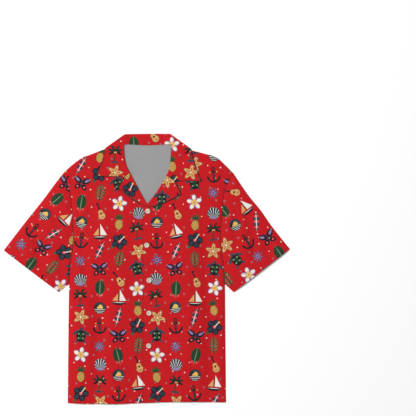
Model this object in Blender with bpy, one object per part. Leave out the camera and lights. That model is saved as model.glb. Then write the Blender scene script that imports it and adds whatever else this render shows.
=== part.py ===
"""A short-sleeved shirt with an open camp collar, laid flat and face up on a table.

Lengths are in millimetres until a mesh is made. X runs across the shirt from its centre line,
Y runs up from the hem and Z up from the table. Right and left are the wearer's, so the right
side lies at negative X. Each piece that is cut and sewn is one closed wall of cloth.
"""

from math import cos, exp, hypot, pi, radians, sin

import bmesh
import bpy
from mathutils import Vector

MM = 0.001

# Cloth and how its layers lie on each other.
CLOTH = 1.0
SEAM_GAP = 0.3
LAYER = CLOTH + SEAM_GAP
TABLE_LEVEL = CLOTH / 2
FRONT_LEVEL = TABLE_LEVEL + LAYER

# How far the upper cloth stands off the lower one, away from its seams.
BODY_PUFF = 3.0
CHEST_PUFF = 0.6
SLEEVE_PUFF = 2.4
PUFF_REACH = 22.0
CHEST_FADE = (520.0, 690.0)

# The back and fronts lie higher where the collar is folded down behind the neck.
RAISE_UP = (640.0, 752.0)
RAISE_ACROSS = (135.0, 235.0)
BAND_ACROSS = (50.0, 68.0)
BAND_UP = (745.0, 770.0)

# The hem is a shallow wave.
HEM_WAVE = 3.4
HEM_HALF_WAVE = 260.0

# Button stand: the left front laps over the right one.
LAP_EDGE = -12.0
UNDERLAP_EDGE = 18.0
LAP_EASE = (21.0, 48.0)
LAP_CORNER = 574.0

# Columns and rows of the panels. The rows are fractions of their height, or of the armhole's length.
FRONT_COLUMNS = 13
NECK_STATION = 0.34
SHOULDER_COLUMNS = 7
NECK_COLUMNS = 5
LOWER_ROWS = 9
UNDERARM_ROW = 0.46
LAP_CORNER_STEP = 0.50
BREAK_STEP = 0.56
ARMHOLE_STEPS = (0.0, 0.10, 0.20, 0.30, 0.40, LAP_CORNER_STEP, BREAK_STEP, 0.65, 0.74, 0.83, 0.92, 1.0)

# Collar stations, as fractions of the way round from the right collar point to the left one.
SHOULDER_STATION = 0.25
BAND_STATION = 0.42
GORGE_GAP = 0.4
NOTCH_ROW = 0.22
ROLL_INSET = 3.0
LAPEL_POINT_STATION = 0.72
LAPEL_COLUMNS = 9
LAPEL_TOP_COLUMNS = 4
LAPEL_ROWS = 4
COLLAR_COLUMNS = 6
COLLAR_ROWS = (NOTCH_ROW / 2, NOTCH_ROW, 0.42, 0.62, 0.82, 1.0)
FALL_ROWS = (0.5, 1.0)

# Angles, in degrees, of the points round a rolled edge, a sleeve's folds and the collar's top fold.
ROLL_ANGLES = (0, 45, 90)
SLEEVE_ANGLES = (-60, -20, 20, 60)
COLLAR_ANGLES = (55, 20, -20, -55, -90)
SLEEVE_COLUMNS = 9
CURVE_STEPS = 12
SEAM_STEPS = 24

# Outlines of one side each, as (across, up) points that a smooth curve passes through.
RIGHT = {
    "sign": -1,
    "side_seam": ((-239, 2), (-237, 197), (-235, 355)),
    "armhole": ((-235, 355), (-231, 413), (-222, 482), (-225, 556), (-232, 634), (-252, 688)),
    "shoulder": ((-252, 688), (-230, 709), (-196, 734), (-172, 743), (-127, 760)),
    "sleeve_fold": ((-252, 688), (-270, 666), (-313, 608), (-368, 539), (-408, 487), (-431, 457)),
    "underarm": ((-235, 355), (-265, 331)),
    "roll_line": ((-2, 597), (-23, 635), (-52, 690)),
    "roll_collar": ((-52, 690), (-62, 710), (-67, 731), (-70, 757)),
    "neck_corner": ((-70, 757), (-70, 772), (-60, 774)),
    "notch": (-69, 677),
    "collar_edge": ((-154, 680), (-140, 711), (-132, 735), (-127, 763)),
    "collar_fold": ((-127, 763), (-85, 793), (-67, 805)),
    "lapel_edge": ((-5, 588), (-20, 595), (-48, 612), (-87, 644)),
    "neck_point": (-72, 777),
}
LEFT = {
    "sign": 1,
    "side_seam": ((235, 0), (233, 230), (232, 355)),
    "armhole": ((232, 355), (228, 413), (220, 482), (223, 556), (232, 634), (258, 687)),
    "shoulder": ((258, 687), (228, 717), (205, 736), (168, 747), (130, 757)),
    "sleeve_fold": ((258, 687), (300, 625), (339, 577), (371, 531), (404, 489), (427, 461)),
    "underarm": ((232, 355), (258, 331)),
    "roll_line": ((0, 597), (22, 624), (44, 658), (57, 681)),
    "roll_collar": ((57, 681), (66, 705), (69, 731), (71, 757)),
    "neck_corner": ((71, 757), (71, 772), (60, 774)),
    "notch": (81, 666),
    "collar_edge": ((161, 664), (148, 696), (136, 735), (129, 762)),
    "collar_fold": ((129, 762), (92, 789), (68, 806)),
    "lapel_edge": ((-2, 587), (34, 593), (67, 608), (101, 625)),
    "neck_point": (73, 777),
}
COLLAR_TOP = ((-67, 805), (0, 806), (68, 806))
NECK_SEAM = ((-60, 774), (0, 771), (60, 774))
BACK_NECK = ((-72, 777), (-45, 781), (45, 781), (73, 777))
FALL_EDGE = ((-121, 757), (0, 763), (122, 757))

# The largest folds: from and to (across, up), half width, height (a trough is below zero).
FRONT_FOLDS = (
    ((-156, 330), (-160, 10), 26, -1.9),
    ((-199, 300), (-203, 60), 20, 0.4),
    ((172, 590), (186, 20), 34, -2.1),
    ((112, 420), (120, 140), 30, 0.4),
)
SLEEVE_FOLDS = (
    ((-335, 560), (-318, 455), 20, -1.3),
    ((300, 575), (318, 450), 26, -1.5),
)

# Buttons, top one first, as (across, up).
BUTTONS = ((1, 574), (-2, 472), (5, 367), (5, 269), (4, 171))
BUTTON_RADIUS = 7.5
BUTTON_PROFILE = (
    (0.0, 2.0), (4.6, 2.0), (5.4, 2.7), (6.6, 2.8), (7.5, 2.0), (7.5, 0.8), (6.4, 0.0), (0.0, 0.0),
)
BUTTON_SIDES = 20
THREAD_HOLE_RADIUS = 0.9
THREAD_HOLE_REACH = 2.1
THREAD_HOLE_SIDES = 8

CLOTH_RED = (0.53, 0.014, 0.020, 1.0)
BUTTON_CREAM = (0.80, 0.74, 0.62, 1.0)


# Curves: each is a function of 0..1 that gives a point (across, up).

def curve(points):
    """Run smoothly through the points, at an even pace by length."""
    ends = [points[0], *points, points[-1]]
    path = []
    for before, start, end, after in zip(ends, ends[1:], ends[2:], ends[3:]):
        for step in range(CURVE_STEPS):
            path.append(spline_point(before, start, end, after, step / CURVE_STEPS))
    path.append(points[-1])
    lengths = [0.0]
    for start, end in zip(path, path[1:]):
        lengths.append(lengths[-1] + hypot(end[0] - start[0], end[1] - start[1]))

    def at(fraction):
        goal = min(max(fraction, 0.0), 1.0) * lengths[-1]
        index = 0
        while index < len(path) - 2 and lengths[index + 1] < goal:
            index += 1
        part = (goal - lengths[index]) / (lengths[index + 1] - lengths[index])
        return between(path[index], path[index + 1], part)
    return at


def spline_point(before, start, end, after, part):
    """A Catmull-Rom spline's point between start and end."""
    weights = (
        -0.5 * part + part ** 2 - 0.5 * part ** 3,
        1 - 2.5 * part ** 2 + 1.5 * part ** 3,
        0.5 * part + 2 * part ** 2 - 1.5 * part ** 3,
        -0.5 * part ** 2 + 0.5 * part ** 3,
    )
    corners = (before, start, end, after)
    return tuple(sum(weight * corner[axis] for weight, corner in zip(weights, corners)) for axis in (0, 1))


def chain(*sections):
    """Join curves end to end: each section is (the fraction where it starts, its curve)."""
    starts = [start for start, _ in sections] + [1.0]

    def at(fraction):
        index = 0
        while index < len(sections) - 1 and fraction > starts[index + 1]:
            index += 1
        local = (fraction - starts[index]) / (starts[index + 1] - starts[index])
        return sections[index][1](local)
    return at


def backwards(line):
    return lambda fraction: line(1.0 - fraction)


def beside(line, distance):
    """Move a curve sideways by a distance, to the left of the way it runs."""
    nudge = 0.01

    def at(fraction):
        start = line(max(fraction - nudge, 0.0))
        end = line(min(fraction + nudge, 1.0))
        length = hypot(end[0] - start[0], end[1] - start[1])
        point = line(fraction)
        return (
            point[0] - distance * (end[1] - start[1]) / length,
            point[1] + distance * (end[0] - start[0]) / length,
        )
    return at


def between(start, end, part):
    return tuple(a + (b - a) * part for a, b in zip(start, end))


def ease(value, limits):
    """Rise smoothly from 0 to 1 between two limits."""
    part = min(max((value - limits[0]) / (limits[1] - limits[0]), 0.0), 1.0)
    return part * part * (3 - 2 * part)


def hem(start, end):
    """The hem from one place across the shirt to another."""
    def at(fraction):
        across = start + (end - start) * fraction
        return across, HEM_WAVE * sin(pi * across / HEM_HALF_WAVE)
    return at


# Surfaces in plan.

def patch(bottom, top, left, right, across_steps, up_steps):
    """Fill the space between four edges that meet at their ends, as columns of points."""
    columns = []
    for across in across_steps:
        column = []
        for up in up_steps:
            low_high = between(bottom(across), top(across), up)
            sides = between(left(up), right(up), across)
            corners = between(between(bottom(0), bottom(1), across), between(top(0), top(1), across), up)
            column.append(tuple(a + b - c for a, b, c in zip(low_high, sides, corners)))
        columns.append(column)
    return columns


def even_steps(*knots):
    """Fractions from 0 to 1: each knot is (where a stretch ends, in how many steps)."""
    steps = [0.0]
    for end, count in knots:
        start = steps[-1]
        steps.extend(start + (end - start) * (index + 1) / count for index in range(count))
    return steps


# Heights.

def distance_to(lines, across, up):
    """The distance in plan to the nearest of some lines, each a list of points."""
    nearest = float("inf")
    for line in lines:
        for start, end in zip(line, line[1:]):
            run = (end[0] - start[0], end[1] - start[1])
            square = run[0] ** 2 + run[1] ** 2
            part = ((across - start[0]) * run[0] + (up - start[1]) * run[1]) / square
            part = min(max(part, 0.0), 1.0)
            gap = hypot(across - start[0] - part * run[0], up - start[1] - part * run[1])
            nearest = min(nearest, gap)
    return nearest


def folds_at(folds, across, up):
    """The height that the folds add at a place: each fades to its sides and past its ends."""
    height = 0.0
    for start, end, half_width, rise in folds:
        gap = distance_to([(start, end)], across, up)
        height += rise * exp(-(gap / half_width) ** 2)
    return height


def puff(seams, size, folds, across, up):
    """How far the upper cloth stands off the lower one: nothing at the seams, full away from them."""
    fullness = 1 - exp(-distance_to(seams, across, up) / PUFF_REACH)
    return max(fullness * (size + folds_at(folds, across, up)), 0.0)


def raised(across, up):
    """The lift of the back and the fronts over the collar that lies behind the neck."""
    return LAYER * ease(up, RAISE_UP) * (1 - ease(abs(across), RAISE_ACROSS))


def seam_lines(names):
    """The named lines of each side, as lists of points, by the side's sign."""
    steps = [step / SEAM_STEPS for step in range(SEAM_STEPS + 1)]
    lines = {}
    for side in (RIGHT, LEFT):
        lines[side["sign"]] = [[curve(side[name])(step) for step in steps] for name in names]
    return lines


FRONT_SEAMS = seam_lines(("side_seam", "armhole", "shoulder"))
SLEEVE_SEAMS = seam_lines(("sleeve_fold", "armhole", "underarm"))


def front_height(side, across, up):
    """The middle of a front's cloth, above the table."""
    size = BODY_PUFF + (CHEST_PUFF - BODY_PUFF) * ease(up, CHEST_FADE)
    height = FRONT_LEVEL + raised(across, up) + puff(FRONT_SEAMS[side["sign"]], size, FRONT_FOLDS, across, up)
    if side is LEFT:
        height += LAYER * (1 - ease(across, LAP_EASE))
    return height


def collar_height(across, up):
    """The middle of the collar's cloth: over the fronts at the sides, on the back at the neck."""
    side = RIGHT if across < 0 else LEFT
    on_front = max(ease(abs(across), BAND_ACROSS), 1 - ease(up, BAND_UP))
    band_level = FRONT_LEVEL + raised(across, up)
    return band_level + on_front * (front_height(side, across, up) + LAYER - band_level)


# Solids.

def material(name, colour, roughness):
    finish = bpy.data.materials.new(name)
    finish.use_nodes = True
    shader = finish.node_tree.nodes["Principled BSDF"]
    shader.inputs["Base Color"].default_value = colour
    shader.inputs["Roughness"].default_value = roughness
    shader.inputs["Metallic"].default_value = 0.0
    return finish


def cloth_piece(name, columns, ring=False):
    """One closed wall of cloth, its middle surface given as columns of points."""
    points = []
    starts = []
    for column in columns:
        starts.append(len(points))
        points.extend(Vector(point) * MM for point in column)
    faces = []
    for index in range(len(columns) - 1):
        here, there = starts[index], starts[index + 1]
        shared = min(len(columns[index]), len(columns[index + 1]))
        for row in range(shared - 1):
            faces.append((here + row, there + row, there + row + 1, here + row + 1))
        if ring:
            faces.append((here + shared - 1, there + shared - 1, there, here))
    mesh = bpy.data.meshes.new(name)
    mesh.from_pydata(points, [], faces)
    mesh.shade_smooth()
    piece = bpy.data.objects.new(name, mesh)
    bpy.context.scene.collection.objects.link(piece)
    mesh.materials.append(material(name, CLOTH_RED, 0.85))
    wall = piece.modifiers.new("wall", "SOLIDIFY")
    wall.thickness = CLOTH * MM
    wall.offset = 0.0
    wall.use_even_offset = True
    return piece


def lift(columns, height):
    """Give plan columns their height, worked out from each point's place."""
    return [[(across, up, height(across, up)) for across, up in column] for column in columns]


def outer_edge(side):
    """A panel's outer edge, from the hem up its side seam and armhole."""
    start = hem(side["side_seam"][0][0], 0)(0)
    return chain((0.0, curve((start,) + side["side_seam"][1:])), (UNDERARM_ROW, curve(side["armhole"])))


def front_edge(side):
    """A front's edge at the buttons, from hem to neck."""
    sign = side["sign"]
    whole_roll = curve(side["roll_line"] + side["roll_collar"][1:] + (side["neck_point"],))
    neck_edge = beside(whole_roll, -sign * ROLL_INSET)
    lap = UNDERLAP_EDGE if side is RIGHT else LAP_EDGE
    hem_height = hem(lap, lap)(0)[1]
    corner = (lap, LAP_CORNER)
    corner_row = UNDERARM_ROW + (1 - UNDERARM_ROW) * LAP_CORNER_STEP
    break_row = UNDERARM_ROW + (1 - UNDERARM_ROW) * BREAK_STEP
    return chain(
        (0.0, curve(((lap, hem_height), corner))),
        (corner_row, curve((corner, neck_edge(0)))),
        (break_row, neck_edge),
    )


def panel_rows():
    """Rows of the fronts and the back: even to the underarm, then the armhole's own steps."""
    lower = [UNDERARM_ROW * index / LOWER_ROWS for index in range(LOWER_ROWS)]
    return lower + [UNDERARM_ROW + (1 - UNDERARM_ROW) * step for step in ARMHOLE_STEPS]


def make_front(side, name):
    outer, inner = outer_edge(side), front_edge(side)
    bottom = hem(outer(0)[0], inner(0)[0])
    top = curve(side["shoulder"] + (inner(1),))
    columns = patch(bottom, top, outer, inner, even_steps((1.0, FRONT_COLUMNS)), panel_rows())
    return cloth_piece(name, lift(columns, lambda across, up: front_height(side, across, up)))


def make_back():
    right, left = outer_edge(RIGHT), outer_edge(LEFT)
    bottom = hem(right(0)[0], left(0)[0])
    top = chain(
        (0.0, curve(RIGHT["shoulder"] + (RIGHT["neck_point"],))),
        (NECK_STATION, curve(BACK_NECK)),
        (1 - NECK_STATION, backwards(curve(LEFT["shoulder"] + (LEFT["neck_point"],)))),
    )
    stations = even_steps(
        (NECK_STATION, SHOULDER_COLUMNS), (1 - NECK_STATION, NECK_COLUMNS), (1.0, SHOULDER_COLUMNS),
    )
    columns = patch(bottom, top, right, left, stations, panel_rows())
    return cloth_piece("back", lift(columns, lambda across, up: TABLE_LEVEL + raised(across, up)))


def fold_arc(edge, inward, low, high, angles):
    """Points round a fold between two levels of cloth, whose outside just reaches the edge."""
    radius = (high - low) / 2
    points = []
    for angle in angles:
        reach = CLOTH / 2 + radius * (1 - cos(radians(angle)))
        points.append((
            edge[0] + inward[0] * reach,
            edge[1] + inward[1] * reach,
            low + radius * (1 + sin(radians(angle))),
        ))
    return points


def direction(start, end):
    length = hypot(end[0] - start[0], end[1] - start[1])
    return (end[0] - start[0]) / length, (end[1] - start[1]) / length


def make_sleeve(side, name):
    """A flattened tube, folded along its outer edge and seamed under the arm."""
    sign = side["sign"]
    armhole = beside(curve(side["armhole"]), -sign * SEAM_GAP)
    hem_low, hem_tip = side["underarm"][-1], side["sleeve_fold"][-1]
    underarm = curve((armhole(0), hem_low))
    fold = curve((armhole(1),) + side["sleeve_fold"][1:])
    sleeve_hem = curve((hem_low, hem_tip))
    columns = patch(underarm, fold, armhole, sleeve_hem, even_steps((1.0, SLEEVE_COLUMNS)), ARMHOLE_STEPS)
    seams = SLEEVE_SEAMS[sign]
    low, high = TABLE_LEVEL, FRONT_LEVEL
    rings = []
    for column in columns:
        inner = column[1:-1]
        upper = [(*point, FRONT_LEVEL + puff(seams, SLEEVE_PUFF, SLEEVE_FOLDS, *point)) for point in inner]
        lower = [(*point, TABLE_LEVEL) for point in inner]
        under_turn = fold_arc(column[0], direction(column[0], column[1]), low, high, SLEEVE_ANGLES)
        outer_turn = fold_arc(column[-1], direction(column[-1], column[-2]), low, high, SLEEVE_ANGLES)
        rings.append(under_turn + upper + outer_turn[::-1] + lower[::-1])
    if sign > 0:
        rings.reverse()
    return cloth_piece(name, rings, ring=True)


def rolled_edge(edge, towards, height, drop):
    """Points of a quarter roll that turns an edge down over the cloth beneath it."""
    inward = direction(edge, towards)
    points = []
    for angle in ROLL_ANGLES:
        reach = CLOTH / 2 + LAYER * (1 - cos(radians(angle)))
        across, up = edge[0] + inward[0] * reach, edge[1] + inward[1] * reach
        points.append((across, up, height(across, up) - drop * LAYER * (1 - sin(radians(angle)))))
    return points


def make_facing(side, name):
    """The turned-out lapel, rolled over the front's edge."""
    sign = side["sign"]
    clear = (-sign * GORGE_GAP, -GORGE_GAP)
    notch = (side["notch"][0] + clear[0], side["notch"][1] + clear[1])
    gorge = (side["roll_line"][-1][0] + clear[0], side["roll_line"][-1][1] + clear[1])
    roll = curve(side["roll_line"][:-1] + (gorge,))
    lapel_point = side["lapel_edge"][-1]
    free_edge = chain(
        (0.0, curve(side["lapel_edge"])),
        (LAPEL_POINT_STATION, curve((lapel_point, notch))),
    )

    def height(across, up):
        return front_height(side, across, up) + LAYER

    columns = []
    for station in even_steps((LAPEL_POINT_STATION, LAPEL_COLUMNS), (1.0, LAPEL_TOP_COLUMNS)):
        edge, end = roll(station), free_edge(station)
        column = rolled_edge(edge, end, height, 1.0)
        start = column[-1][:2]
        for row in range(1, LAPEL_ROWS + 1):
            across, up = between(start, end, row / LAPEL_ROWS)
            column.append((across, up, height(across, up)))
        columns.append(column)
    if sign < 0:
        columns.reverse()
    return cloth_piece(name, columns)


def make_collar():
    """One band from point to point: it lies over the fronts, and folds down behind the neck."""
    inner = chain(
        (0.0, curve(RIGHT["roll_collar"])),
        (SHOULDER_STATION, curve(RIGHT["neck_corner"])),
        (BAND_STATION, curve(NECK_SEAM)),
        (1 - BAND_STATION, backwards(curve(LEFT["neck_corner"]))),
        (1 - SHOULDER_STATION, backwards(curve(LEFT["roll_collar"]))),
    )
    outer = chain(
        (0.0, curve(RIGHT["collar_edge"])),
        (SHOULDER_STATION, curve(RIGHT["collar_fold"])),
        (BAND_STATION, curve(COLLAR_TOP)),
        (1 - BAND_STATION, backwards(curve(LEFT["collar_fold"]))),
        (1 - SHOULDER_STATION, backwards(curve(LEFT["collar_edge"]))),
    )
    fall_edge = curve(FALL_EDGE)
    gorges = {}
    for end, side in ((0.0, RIGHT), (1.0, LEFT)):
        gorges[end] = chain(
            (0.0, curve((side["roll_collar"][0], side["notch"]))),
            (NOTCH_ROW, curve((side["notch"], side["collar_edge"][0]))),
        )
    ends = (SHOULDER_STATION, BAND_STATION, 1 - BAND_STATION, 1 - SHOULDER_STATION, 1.0)
    columns = []
    for station in even_steps(*((end, COLLAR_COLUMNS) for end in ends)):
        edge, rim = inner(station), outer(station)
        wraps = SHOULDER_STATION - 0.001 <= station <= 1 - SHOULDER_STATION + 0.001
        inward = direction(rim, edge)
        top_level = collar_height(*rim)
        radius = (top_level - TABLE_LEVEL) / 2
        end = rim
        if wraps:
            end = (rim[0] + inward[0] * (radius + CLOTH / 2), rim[1] + inward[1] * (radius + CLOTH / 2))
        nearer = 0.0 if station < 0.5 else 1.0
        pull = max(1 - abs(station - nearer) / SHOULDER_STATION, 0.0) ** 2
        drop = 1 - ease(edge[1], BAND_UP)

        def place(row):
            straight = between(edge, end, row)
            gorge = gorges[nearer]
            chord = between(gorge(0), gorge(1), row)
            return tuple(a + pull * (b - c) for a, b, c in zip(straight, gorge(row), chord))

        column = rolled_edge(edge, place(COLLAR_ROWS[0]), collar_height, drop)
        column += [(*place(row), collar_height(*place(row))) for row in COLLAR_ROWS]
        if wraps:
            column += fold_arc(rim, inward, TABLE_LEVEL, top_level, COLLAR_ANGLES)
            start = column[-1][:2]
            goal = fall_edge((station - SHOULDER_STATION) / (1 - 2 * SHOULDER_STATION))
            column += [(*between(start, goal, part), TABLE_LEVEL) for part in FALL_ROWS]
        columns.append(column)
    columns.reverse()
    return cloth_piece("collar", columns)


# Buttons.

def button_mesh():
    """A four-hole button with a raised rim, turned round its own axis."""
    profile = bpy.data.meshes.new("button_profile")
    points = [(radius * MM, 0, height * MM) for radius, height in BUTTON_PROFILE]
    profile.from_pydata(points, [(index, index + 1) for index in range(len(points) - 1)], [])
    blank = bpy.data.objects.new("button_blank", profile)
    bpy.context.scene.collection.objects.link(blank)
    turned = blank.modifiers.new("turned", "SCREW")
    turned.steps = BUTTON_SIDES
    turned.render_steps = BUTTON_SIDES
    turned.use_merge_vertices = True
    turned.merge_threshold = 0.00001

    holes = bmesh.new()
    for turn in range(4):
        angle = pi / 4 + turn * pi / 2
        radius = THREAD_HOLE_RADIUS * MM
        made = bmesh.ops.create_cone(
            holes, cap_ends=True, segments=THREAD_HOLE_SIDES, radius1=radius, radius2=radius, depth=10 * MM,
        )
        reach = Vector((cos(angle), sin(angle), 0)) * THREAD_HOLE_REACH * MM
        bmesh.ops.translate(holes, verts=made["verts"], vec=reach)
    cutter_mesh = bpy.data.meshes.new("thread_holes")
    holes.to_mesh(cutter_mesh)
    holes.free()
    cutter = bpy.data.objects.new("thread_holes", cutter_mesh)
    bpy.context.scene.collection.objects.link(cutter)
    cut = blank.modifiers.new("thread_holes", "BOOLEAN")
    cut.object = cutter
    cut.solver = "EXACT"

    bpy.context.view_layer.update()
    drilled = blank.evaluated_get(bpy.context.evaluated_depsgraph_get())
    mesh = bpy.data.meshes.new_from_object(drilled)
    bpy.data.objects.remove(blank)
    bpy.data.objects.remove(cutter)
    mesh.shade_smooth()
    mesh.set_sharp_from_angle(angle=radians(35))
    mesh.materials.clear()
    mesh.materials.append(material("button", BUTTON_CREAM, 0.35))
    return mesh


def make_buttons():
    mesh = button_mesh()
    rim = [(BUTTON_RADIUS * cos(turn * pi / 4), BUTTON_RADIUS * sin(turn * pi / 4)) for turn in range(8)]
    for number, (across, up) in enumerate(BUTTONS, start=1):
        cloth_top = CLOTH / 2 + max(front_height(LEFT, across + right, up + ahead) for right, ahead in rim)
        seat = cloth_top + SEAM_GAP
        button = bpy.data.objects.new(f"button_{number}", mesh)
        button.location = Vector((across, up, seat)) * MM
        bpy.context.scene.collection.objects.link(button)


def centre_on_origin():
    """Put the middle of the shirt's box over the origin, with the table at height zero."""
    bpy.context.view_layer.update()
    graph = bpy.context.evaluated_depsgraph_get()
    corners = []
    for piece in bpy.context.scene.objects:
        solid = piece.evaluated_get(graph)
        corners += [solid.matrix_world @ vertex.co for vertex in solid.data.vertices]
    middle = Vector((
        (min(corner.x for corner in corners) + max(corner.x for corner in corners)) / 2,
        (min(corner.y for corner in corners) + max(corner.y for corner in corners)) / 2,
        0,
    ))
    for piece in bpy.context.scene.objects:
        piece.location -= middle


def main():
    for old in list(bpy.data.objects):
        bpy.data.objects.remove(old)
    make_back()
    make_front(RIGHT, "front_right")
    make_front(LEFT, "front_left")
    make_facing(RIGHT, "facing_right")
    make_facing(LEFT, "facing_left")
    make_sleeve(RIGHT, "sleeve_right")
    make_sleeve(LEFT, "sleeve_left")
    make_collar()
    make_buttons()
    centre_on_origin()


main()
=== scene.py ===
"""The looks of a short-sleeved camp-collar shirt that lies flat and face up: printed cloth with
soft folds, the sewing and the buttons, on a pale floor.

The cut and the folds are given in millimetres: across from the shirt's centre line, up from its
hem, and height above the floor. The wearer's right lies at negative numbers across.
"""

import math

import bmesh
import bpy
import numpy as np
from mathutils import Matrix, Vector, noise


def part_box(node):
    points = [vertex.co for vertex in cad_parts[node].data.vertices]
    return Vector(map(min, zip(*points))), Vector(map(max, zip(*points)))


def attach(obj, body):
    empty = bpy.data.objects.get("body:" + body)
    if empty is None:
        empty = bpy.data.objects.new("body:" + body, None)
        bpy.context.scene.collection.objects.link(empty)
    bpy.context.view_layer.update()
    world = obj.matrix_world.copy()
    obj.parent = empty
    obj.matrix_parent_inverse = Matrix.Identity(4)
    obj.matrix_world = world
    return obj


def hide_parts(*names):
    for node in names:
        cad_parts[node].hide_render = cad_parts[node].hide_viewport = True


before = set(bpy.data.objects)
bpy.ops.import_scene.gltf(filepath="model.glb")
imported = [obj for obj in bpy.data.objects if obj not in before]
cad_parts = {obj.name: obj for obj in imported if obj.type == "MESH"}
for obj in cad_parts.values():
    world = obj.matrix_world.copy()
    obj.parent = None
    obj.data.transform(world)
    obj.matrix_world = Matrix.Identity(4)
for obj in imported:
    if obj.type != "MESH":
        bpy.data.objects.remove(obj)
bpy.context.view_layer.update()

MM = 0.001

# Where the shirt's own origin (centre line, hem) lies in the frame, from the top button's place.
TOP_BUTTON = (1.0, 574.0)
button_low, button_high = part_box("button_1")
SHIRT_ORIGIN = (
    (button_low[0] + button_high[0]) / 2 - TOP_BUTTON[0] * MM,
    (button_low[1] + button_high[1]) / 2 - TOP_BUTTON[1] * MM,
)

# The layers of cloth, as the solids have them.
LAYER = 1.3
TABLE_LEVEL = 0.5
FRONT_LEVEL = TABLE_LEVEL + LAYER
CLOTH = 0.7
BACK_LEVEL = CLOTH / 2 + 0.12
DOUBLE_CLOTH = 1.1
RAISE_UP = (640.0, 752.0)
RAISE_ACROSS = (135.0, 235.0)
BAND_ACROSS = (50.0, 68.0)
BAND_UP = (745.0, 770.0)
LAP_EASE = (21.0, 40.0)
LAP_EDGE = -12.0
UNDERLAP_EDGE = 18.0
LAP_CORNER = 574.0

# The stand-off of the fronts and sleeves from the cloth beneath.
PLACKET_PUFF = 3.0
BODY_PUFF = 7.0
CHEST_PUFF = 1.2
NECK_PUFF = 0.6
SLEEVE_PUFF = 6.0
PUFF_REACH = 26.0
CHEST_FADE = (520.0, 700.0)
QUIET_UP = (620.0, 690.0)
QUIET_ACROSS = (165.0, 205.0)
PLACKET_HALF = 24.0
PLACKET_REACH = 48.0

# Beside a seam the cloth sinks to the layer beneath it and rolls up again within a short reach.
SEAM_SINK = 0.8
SEAM_RISE = 0.9
SEAM_REACH = 6.0
PUCKER_SIZE = 0.9
PUCKER_LENGTH = 20.0
PUCKER_REACH = 16.0
PUCKER_START = 4.0

# Hems: how deep they are turned, and how the cloth stands at their row of stitches.
BODY_HEM = 20.0
SLEEVE_HEM = 24.0
HEM_THICK = 0.5
HEM_EDGE = (-1.5, 0.5)
HEM_GROOVE = 0.6
GROOVE_HALF = 1.6
HEM_ROW = 0.0257
CUFF_ROW = 0.82
HEM_WAVE = 3.4
HEM_HALF_WAVE = 260.0

# Where lines meet, as fractions of a panel's height or of the length of the collar or lapel.
UNDERARM_ROW = 0.46
LAP_CORNER_ROW = 0.73
BREAK_ROW = 0.762
SHOULDER_STATION = 0.25
BAND_STATION = 0.42
NOTCH_ROW = 0.22
LAPEL_POINT_STATION = 0.72

# Outlines of one side each, as (across, up) places that a smooth curve passes through.
RIGHT = {
    "sign": -1,
    "side_seam": ((-239, 2), (-237, 197), (-235, 355)),
    "armhole": ((-235, 355), (-231, 413), (-222, 482), (-225, 556), (-232, 634), (-252, 688)),
    "shoulder": ((-252, 688), (-230, 709), (-196, 734), (-172, 743), (-127, 760)),
    "sleeve_fold": ((-252, 688), (-270, 666), (-313, 608), (-368, 539), (-408, 487), (-431, 457)),
    "underarm": ((-235, 355), (-265, 331)),
    "roll_line": ((-2, 597), (-23, 635), (-52, 690)),
    "roll_collar": ((-52, 690), (-62, 710), (-67, 731), (-70, 757)),
    "neck_corner": ((-70, 757), (-70, 772), (-60, 774)),
    "notch": (-69, 677),
    "collar_edge": ((-154, 680), (-140, 711), (-132, 735), (-127, 763)),
    "collar_fold": ((-127, 763), (-85, 793), (-67, 805)),
    "lapel_edge": ((-5, 588), (-20, 595), (-48, 612), (-87, 644)),
    "neck_point": (-72, 777),
}
LEFT = {
    "sign": 1,
    "side_seam": ((235, 0), (233, 230), (232, 355)),
    "armhole": ((232, 355), (228, 413), (220, 482), (223, 556), (232, 634), (258, 687)),
    "shoulder": ((258, 687), (228, 717), (205, 736), (168, 747), (130, 757)),
    "sleeve_fold": ((258, 687), (300, 625), (339, 577), (371, 531), (404, 489), (427, 461)),
    "underarm": ((232, 355), (258, 331)),
    "roll_line": ((0, 597), (22, 624), (44, 658), (57, 681)),
    "roll_collar": ((57, 681), (66, 705), (69, 731), (71, 757)),
    "neck_corner": ((71, 757), (71, 772), (60, 774)),
    "notch": (81, 666),
    "collar_edge": ((161, 664), (148, 696), (136, 735), (129, 762)),
    "collar_fold": ((129, 762), (92, 789), (68, 806)),
    "lapel_edge": ((-2, 587), (34, 593), (67, 608), (101, 625)),
    "neck_point": (73, 777),
}
COLLAR_TOP = ((-67, 805), (0, 806), (68, 806))
NECK_SEAM = ((-60, 774), (0, 771), (60, 774))
BACK_NECK = ((-72, 777), (-45, 781), (45, 781), (73, 777))
FALL_EDGE = ((-121, 757), (0, 763), (122, 757))

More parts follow.
